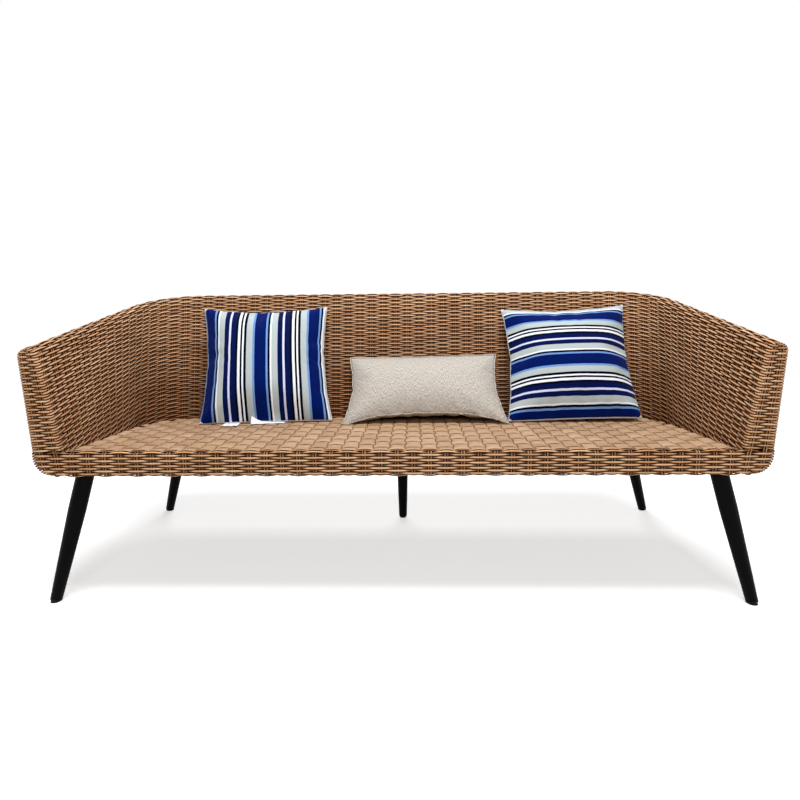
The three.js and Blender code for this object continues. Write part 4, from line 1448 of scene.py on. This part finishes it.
def sewn_panels(name, width, height):
    """Two flat panels, front and rear, joined along their edges."""
    deselect_all()
    halves = []
    for turn, side in ((math.pi / 2, -1), (-math.pi / 2, 1)):
        bpy.ops.mesh.primitive_grid_add(
            x_subdivisions=round(width / CELL), y_subdivisions=round(height / CELL), size=1,
            location=(0, 0, 0), rotation=(turn, 0, 0))
        half = bpy.context.object
        half.scale = (width, height, 1)
        bpy.ops.object.transform_apply(location=False, rotation=True, scale=True)
        points = read_points(half.data)
        u, v = 2 * points[:, 0] / width, 2 * points[:, 2] / height
        points[:, 1] = side * FIRST_CROWN / 2 * pillow(u, v)
        write_points(half.data, points)
        halves.append(half)
    for half in halves:
        half.select_set(True)
    bpy.context.view_layer.objects.active = halves[0]
    bpy.ops.object.join()
    bpy.ops.object.mode_set(mode="EDIT")
    bpy.ops.mesh.select_all(action="SELECT")
    bpy.ops.mesh.remove_doubles(threshold=SEAM_REACH)
    bpy.ops.object.mode_set(mode="OBJECT")
    piece = bpy.context.object
    piece.name = piece.data.name = name
    return piece


# %% Stuff
SIM_FRAMES = 14
UNEVENNESS = 0.0006
PRESSURE = 26
DRAW_IN = 0.030
CLOTH = dict(quality=6, mass=0.1, air_damping=2, tension_stiffness=50, compression_stiffness=50,
             shear_stiffness=16, bending_stiffness=1.0, use_pressure=True,
             uniform_pressure_force=PRESSURE)


def simulated(piece, flat, size):
    """The panels blown up as cloth by pressure from inside, brought to the size of the cushion."""
    write_points(piece.data, flat + rng.normal(0, UNEVENNESS, flat.shape))
    stuffing = piece.modifiers.new("stuffing", "CLOTH")
    for setting, value in CLOTH.items():
        setattr(stuffing.settings, setting, value)
    stuffing.settings.effector_weights.gravity = 0
    stuffing.collision_settings.use_collision = False
    stuffing.point_cache.frame_start = 1
    stuffing.point_cache.frame_end = SIM_FRAMES
    for step in range(1, SIM_FRAMES + 1):
        scene.frame_set(step)
    apply_modifier(piece, stuffing)
    scene.frame_set(1)
    blown = read_points(piece.data)
    blown -= (blown.max(axis=0) + blown.min(axis=0)) / 2
    return blown * (np.array(size) / np.ptp(blown, axis=0))


# %% Shape the stuffed cushion
# Points of the panels this near the plane of the seam are on the seam
ON_SEAM = 0.0005
# The stuffing sinks, so a cushion is fuller below than above
HANG = 0.10
# How far the gathers run up, and how far the tuck of the bottom seam does
GATHER_REACH, TUCK_REACH = 0.75, 0.22
# Two waves that multiply and a third that is added: turns, start
FOLD_WAVES = ((17, 1.3), (7, 0.4), (31, 2.2))
THIRD_WAVE = 0.6


def gathers(u, v):
    """Uneven folds that run up from the bottom seam and fade out in the belly of the cushion."""
    first, second, third = (np.sin(turns * u + start) for turns, start in FOLD_WAVES)
    folds = first * second + THIRD_WAVE * third
    below = np.clip((v + 1) / GATHER_REACH, 0, 1)
    return folds * below ** 0.5 * (1 - below) ** 2 * (1 - u ** 4)


def stuffed(piece, width, height, thickness, draws, flare, puckers, tuck):
    """Shape of the stuffed cushion, standing upright, with its flat pattern and sides."""
    flat = read_points(piece.data)
    u, v = 2 * flat[:, 0] / width, 2 * flat[:, 2] / height
    side = np.where(np.abs(flat[:, 1]) < ON_SEAM, 0.0, np.sign(flat[:, 1]))
    out = simulated(piece, flat, (width, thickness, height))
    # The draw-in is half the simulated one and half an even one, in the given shares
    sides, top, bottom = draws
    drawn_x = (out[:, 0] - flat[:, 0] - u * DRAW_IN * (1 - v * v)) / 2
    drawn_z = (out[:, 2] - flat[:, 2] - v * DRAW_IN * (1 - u * u)) / 2
    out[:, 0] = flat[:, 0] + drawn_x * sides
    out[:, 2] = flat[:, 2] + drawn_z * (top * (1 + v) / 2 + bottom * (1 - v) / 2)
    out[:, (0, 2)] *= np.array((width, height)) / np.ptp(out[:, (0, 2)], axis=0)
    out[:, 1] *= 1 - HANG * v
    out[:, 1] += side * puckers * gathers(u, v)
    out[:, 1] -= tuck * np.exp(-(v + 1) / TUCK_REACH) * (1 - u ** 6)
    out[:, 0] *= 1 - flare * v
    return out, flat, side


# %% Lean and press
SINK_DECK = 0.008
SINK_BACK = 0.010
CLEAR_DECK = 0.0006
CLEAR_BACK = 0.0026
BACK_SLOPE = (INNER_TOP[2] - INNER_FOOT[2]) / (BACK_HEIGHT - CREST_RISE - WALL_FOOT)


def placed(points, lean, yaw, roll, x):
    """A cushion leant, turned, set on the deck, slid to the backrest and pressed on both."""
    turn = Matrix.Identity(3)
    for degrees, axis in ((yaw, "Z"), (-lean, "X"), (roll, "Y")):
        turn = turn @ Matrix.Rotation(math.radians(degrees), 3, axis)
    out = points @ np.array(turn).T
    out[:, 0] += x
    out[:, 2] += WALL_FOOT - SINK_DECK - out[:, 2].min()
    out[:, 2] = np.maximum(out[:, 2], WALL_FOOT + CLEAR_DECK)
    rest = INNER_FOOT[2] + BACK_SLOPE * (out[:, 2] - WALL_FOOT) - CLEAR_BACK
    out[:, 1] += (rest - out[:, 1]).min() + SINK_BACK
    out[:, 1] = np.minimum(out[:, 1], rest)
    return out


# %% One cushion
def cushion_object(name, material, size, draws, flare, puckers, tuck, skew, lean, yaw, roll, x):
    """The finished cushion, and the points of its seam in order."""
    width, height, thickness = size
    piece = sewn_panels(name, width, height)
    out, flat, side = stuffed(piece, width, height, thickness, draws, flare, puckers, tuck)
    out[:, 0] += skew * (flat[:, 2] / height + 0.5)
    leant = placed(out, lean, yaw, roll, x)
    mesh = piece.data
    write_points(mesh, leant)
    write_attribute(mesh, "cloth", np.stack([flat[:, 0], flat[:, 2], (side + 1) / 2], axis=-1))
    smooth(mesh)
    mesh.materials.clear()
    mesh.materials.append(material)
    smoother = piece.modifiers.new("smoother", "SUBSURF")
    smoother.levels = 1
    smoother.render_levels = 1
    apply_modifier(piece, smoother)
    size_made = [round(side_length, 3) for side_length in piece.dimensions]
    print(name, "faces:", len(piece.data.polygons), "size:", size_made)
    rim = np.flatnonzero(side == 0)
    order = np.argsort(np.arctan2(flat[rim, 2] / height, flat[rim, 0] / width))
    return piece, leant[rim[order]]


def piping(name, seam, radius, material):
    """A cord covered in the same cloth, sewn in all round a seam."""
    curve = bpy.data.curves.new(name, "CURVE")
    curve.dimensions = "3D"
    curve.bevel_depth = radius
    curve.bevel_resolution = 1
    line = curve.splines.new("POLY")
    line.points.add(len(seam) - 1)
    line.points.foreach_set("co", np.concatenate([seam, np.ones((len(seam), 1))], axis=1).ravel())
    line.use_cyclic_u = True
    cord = add_object(name, curve)
    deselect_all()
    cord.select_set(True)
    bpy.context.view_layer.objects.active = cord
    bpy.ops.object.convert(target="MESH")
    cord = bpy.context.object
    write_attribute(cord.data, "cloth", read_points(cord.data) * (1, 1, 0))
    smooth(cord.data)
    cord.data.materials.clear()
    cord.data.materials.append(material)
    print(name, "length:", round(float(lengths_along(np.vstack([seam, seam[:1]]))[-1]), 2))
    return cord


# %% Cloth finishes
CLOTH_SHEEN, CLOTH_GLOSS = 0.03, 0.03
CLOTH_ROUGHNESS, CLOTH_ROUGH_SPREAD = 0.82, 0.1
THREAD_BUMP = 0.4


def cloth_material(name, build_colour, pitch, thread_depth):
    """A woven cloth with threads at a pitch; build_colour makes its colour from place and slubs."""
    material = new_material(name)
    tree = material.node_tree
    place = attribute(tree, "cloth", "Vector")
    threads = use_group(tree, threads_group, Place=place, Pitch=pitch)
    slub = threads.outputs["Slub"]
    surface(tree, Base_Color=build_colour(tree, place, slub), Sheen_Weight=CLOTH_SHEEN,
            Roughness=maths(tree, "MULTIPLY_ADD", slub, CLOTH_ROUGH_SPREAD, CLOTH_ROUGHNESS),
            Specular_IOR_Level=CLOTH_GLOSS,
            Normal=bumped(tree, threads.outputs["Height"], THREAD_BUMP, thread_depth))
    return material


# %% Stripes
ROYAL = colour(0, 22, 90)
SKY_BLUE = colour(112, 150, 208)
NAVY = colour(3, 18, 72)
INK = colour(1, 4, 20)
WHITE = colour(238, 241, 248)
LILAC = colour(214, 216, 240)
GREY_GREEN = colour(182, 192, 193)
# Widths in millimetres, from left to right on the cushion with upright stripes
STRIPES = [
    (39, ROYAL), (7, SKY_BLUE), (7, INK), (6, WHITE), (21, GREY_GREEN), (17, NAVY), (7, LILAC),
    (19, NAVY), (7, INK), (9, WHITE), (7, INK), (6, WHITE), (9, INK), (21, GREY_GREEN),
    (8, SKY_BLUE),
]
STRIPE_REPEAT = 0.190
# The plain reverse just shows along the seams
REVERSE = colour(214, 215, 218)
REVERSE_EDGE = 0.20
REVERSE_CORNER = 0.438
STRIPE_SHADES = [(0.3, grey(0.86)), (0.7, grey(1.08))]


def striped(axis, shift):
    """Colour of a cloth with stripes across an axis, shifted by a share of their repeat."""
    def build(tree, place, slub):
        parts = parts_of(tree, place)
        turns = maths(tree, "ADD", maths(tree, "DIVIDE", parts[axis], STRIPE_REPEAT), shift)
        total = sum(width for width, _ in STRIPES)
        stops, at = [], 0
        for width, tint in STRIPES:
            stops.append((at / total, tint))
            at += width
        base = ramp(tree, maths(tree, "FRACT", turns), stops, "CONSTANT")
        beyond_seam = maths(tree, "GREATER_THAN", parts[2], REVERSE_EDGE)
        diagonal = maths(tree, "ADD", maths(tree, "ABSOLUTE", parts[0]),
                         maths(tree, "ABSOLUTE", parts[1]))
        at_corner = maths(tree, "GREATER_THAN", diagonal, REVERSE_CORNER)
        base = mixed(tree, maths(tree, "MAXIMUM", beyond_seam, at_corner), base, REVERSE)
        return mixed(tree, 1.0, base, ramp(tree, slub, STRIPE_SHADES), "MULTIPLY")
    return build


# %% Linen
LINEN_TONES = [(0.41, colour(132, 124, 114)), (0.5, colour(182, 175, 166)),
               (0.59, colour(222, 216, 208))]


def linen(tree, _, slub):
    return ramp(tree, slub, LINEN_TONES)


stripes_upright = cloth_material("cloth_stripes_upright", striped(axis=0, shift=0.158),
                                 pitch=0.0011, thread_depth=0.0004)
stripes_level = cloth_material("cloth_stripes_level", striped(axis=1, shift=0.262),
                               pitch=0.0011, thread_depth=0.0004)
linen_cloth = cloth_material("cloth_linen", linen, pitch=0.0016, thread_depth=0.0006)
print("cloths:", stripes_upright.name, stripes_level.name, linen_cloth.name)

# %% Make the cushions
# size is width, height and thickness; draws are shares of the draw-in at the sides, top and bottom;
# flare widens the foot; puckers is the depth of the gathers; tuck is how far the bottom seam is
# rolled forward; skew slides the top sideways; lean, yaw and roll are in degrees; x is the place.
CUSHIONS = {
    "cushion_left": dict(
        material=stripes_upright, size=(0.462, 0.466, 0.156), draws=(0.60, 0.65, 0.10), flare=0.0,
        puckers=0.006, tuck=0.004, skew=-0.014, lean=29.5, yaw=6.2, roll=-0.5, x=-0.476),
    "cushion_middle": dict(
        material=linen_cloth, size=(0.550, 0.318, 0.124), draws=(0.70, 0.10, 1.15), flare=0.017,
        puckers=0.010, tuck=0.016, skew=0.0, lean=47, yaw=-1.0, roll=-1.3, x=0.081),
    "cushion_right": dict(
        material=stripes_level, size=(0.460, 0.462, 0.156), draws=(0.60, 0.55, 0.10), flare=0.0,
        puckers=0.006, tuck=0.008, skew=0.018, lean=32, yaw=-1.0, roll=-1.9, x=0.585),
}
seams = {}
for node, shape in CUSHIONS.items():
    piece, seams[node] = cushion_object(node + "_cover", **shape)
    slot = "linen" if shape["material"] is linen_cloth else "stripes"
    finish_piece(piece, node, slot, node)

PIPING_RADIUS = 0.0022
cord = piping("cushion_middle_piping", seams["cushion_middle"], PIPING_RADIUS, linen_cloth)
finish_piece(cord, "cushion_middle", "linen")

# %% [markdown]
# Sewn-in tabs
#
# Two blank cloth tabs are caught in the bottom seam of the left cushion. One lies flat on the seat,
# the other has curled up at one end.

# %% Tabs
TAB_TONES = [(0.4, colour(222, 223, 226)), (0.6, colour(240, 241, 243))]
TAB_THICKNESS = 0.0004
TAB_LEVEL = WALL_FOOT + 0.0012
# A tab never lies quite flat
TAB_RIPPLE, RIPPLE_TURNS = 0.0010, 9
# A curled end leans forward by this share of its height, and by the second share more at the rear
CURL_FORWARD, CURL_REAR = 0.4, 0.4


def tab_cloth(tree, _, slub):
    return ramp(tree, slub, TAB_TONES)


tab_material = cloth_material("cloth_tab", tab_cloth, pitch=0.0008, thread_depth=0.0001)


def tab(name, size, x, y, yaw, curl):
    """A tab lying on the seat, its rear edge at a place, its left end curled up by a height."""
    width, length = size
    deselect_all()
    bpy.ops.mesh.primitive_grid_add(x_subdivisions=14, y_subdivisions=6, size=1, location=(0, 0, 0))
    piece = bpy.context.object
    piece.name = piece.data.name = name
    piece.scale = (width, length, 1)
    bpy.ops.object.transform_apply(location=False, rotation=False, scale=True)
    flat = read_points(piece.data)
    points = flat.copy()
    left = np.clip(0.5 - flat[:, 0] / width, 0, 1)
    front = np.clip(0.5 - flat[:, 1] / length, 0, 1)
    lifted = curl * left ** 3
    points[:, 2] = lifted * (1 - front) + TAB_RIPPLE * np.sin(RIPPLE_TURNS * left) ** 2
    points[:, 1] -= length / 2 + lifted * (CURL_FORWARD + CURL_REAR * (1 - front))
    turn = np.array(Matrix.Rotation(math.radians(yaw), 3, "Z"))
    write_points(piece.data, points @ turn.T + np.array((x, y, TAB_LEVEL)))
    write_attribute(piece.data, "cloth", flat)
    smooth(piece.data)
    piece.data.materials.append(tab_material)
    thicken(piece, TAB_THICKNESS)
    finish_piece(piece, "cushion_left", "stripes")
    print(name, "faces:", len(piece.data.polygons))


tab("cushion_left_tab_flat", size=(0.054, 0.060), x=-0.576, y=0.034, yaw=4.0, curl=0.0)
tab("cushion_left_tab_curled", size=(0.112, 0.036), x=-0.455, y=0.050, yaw=6.0, curl=0.026)
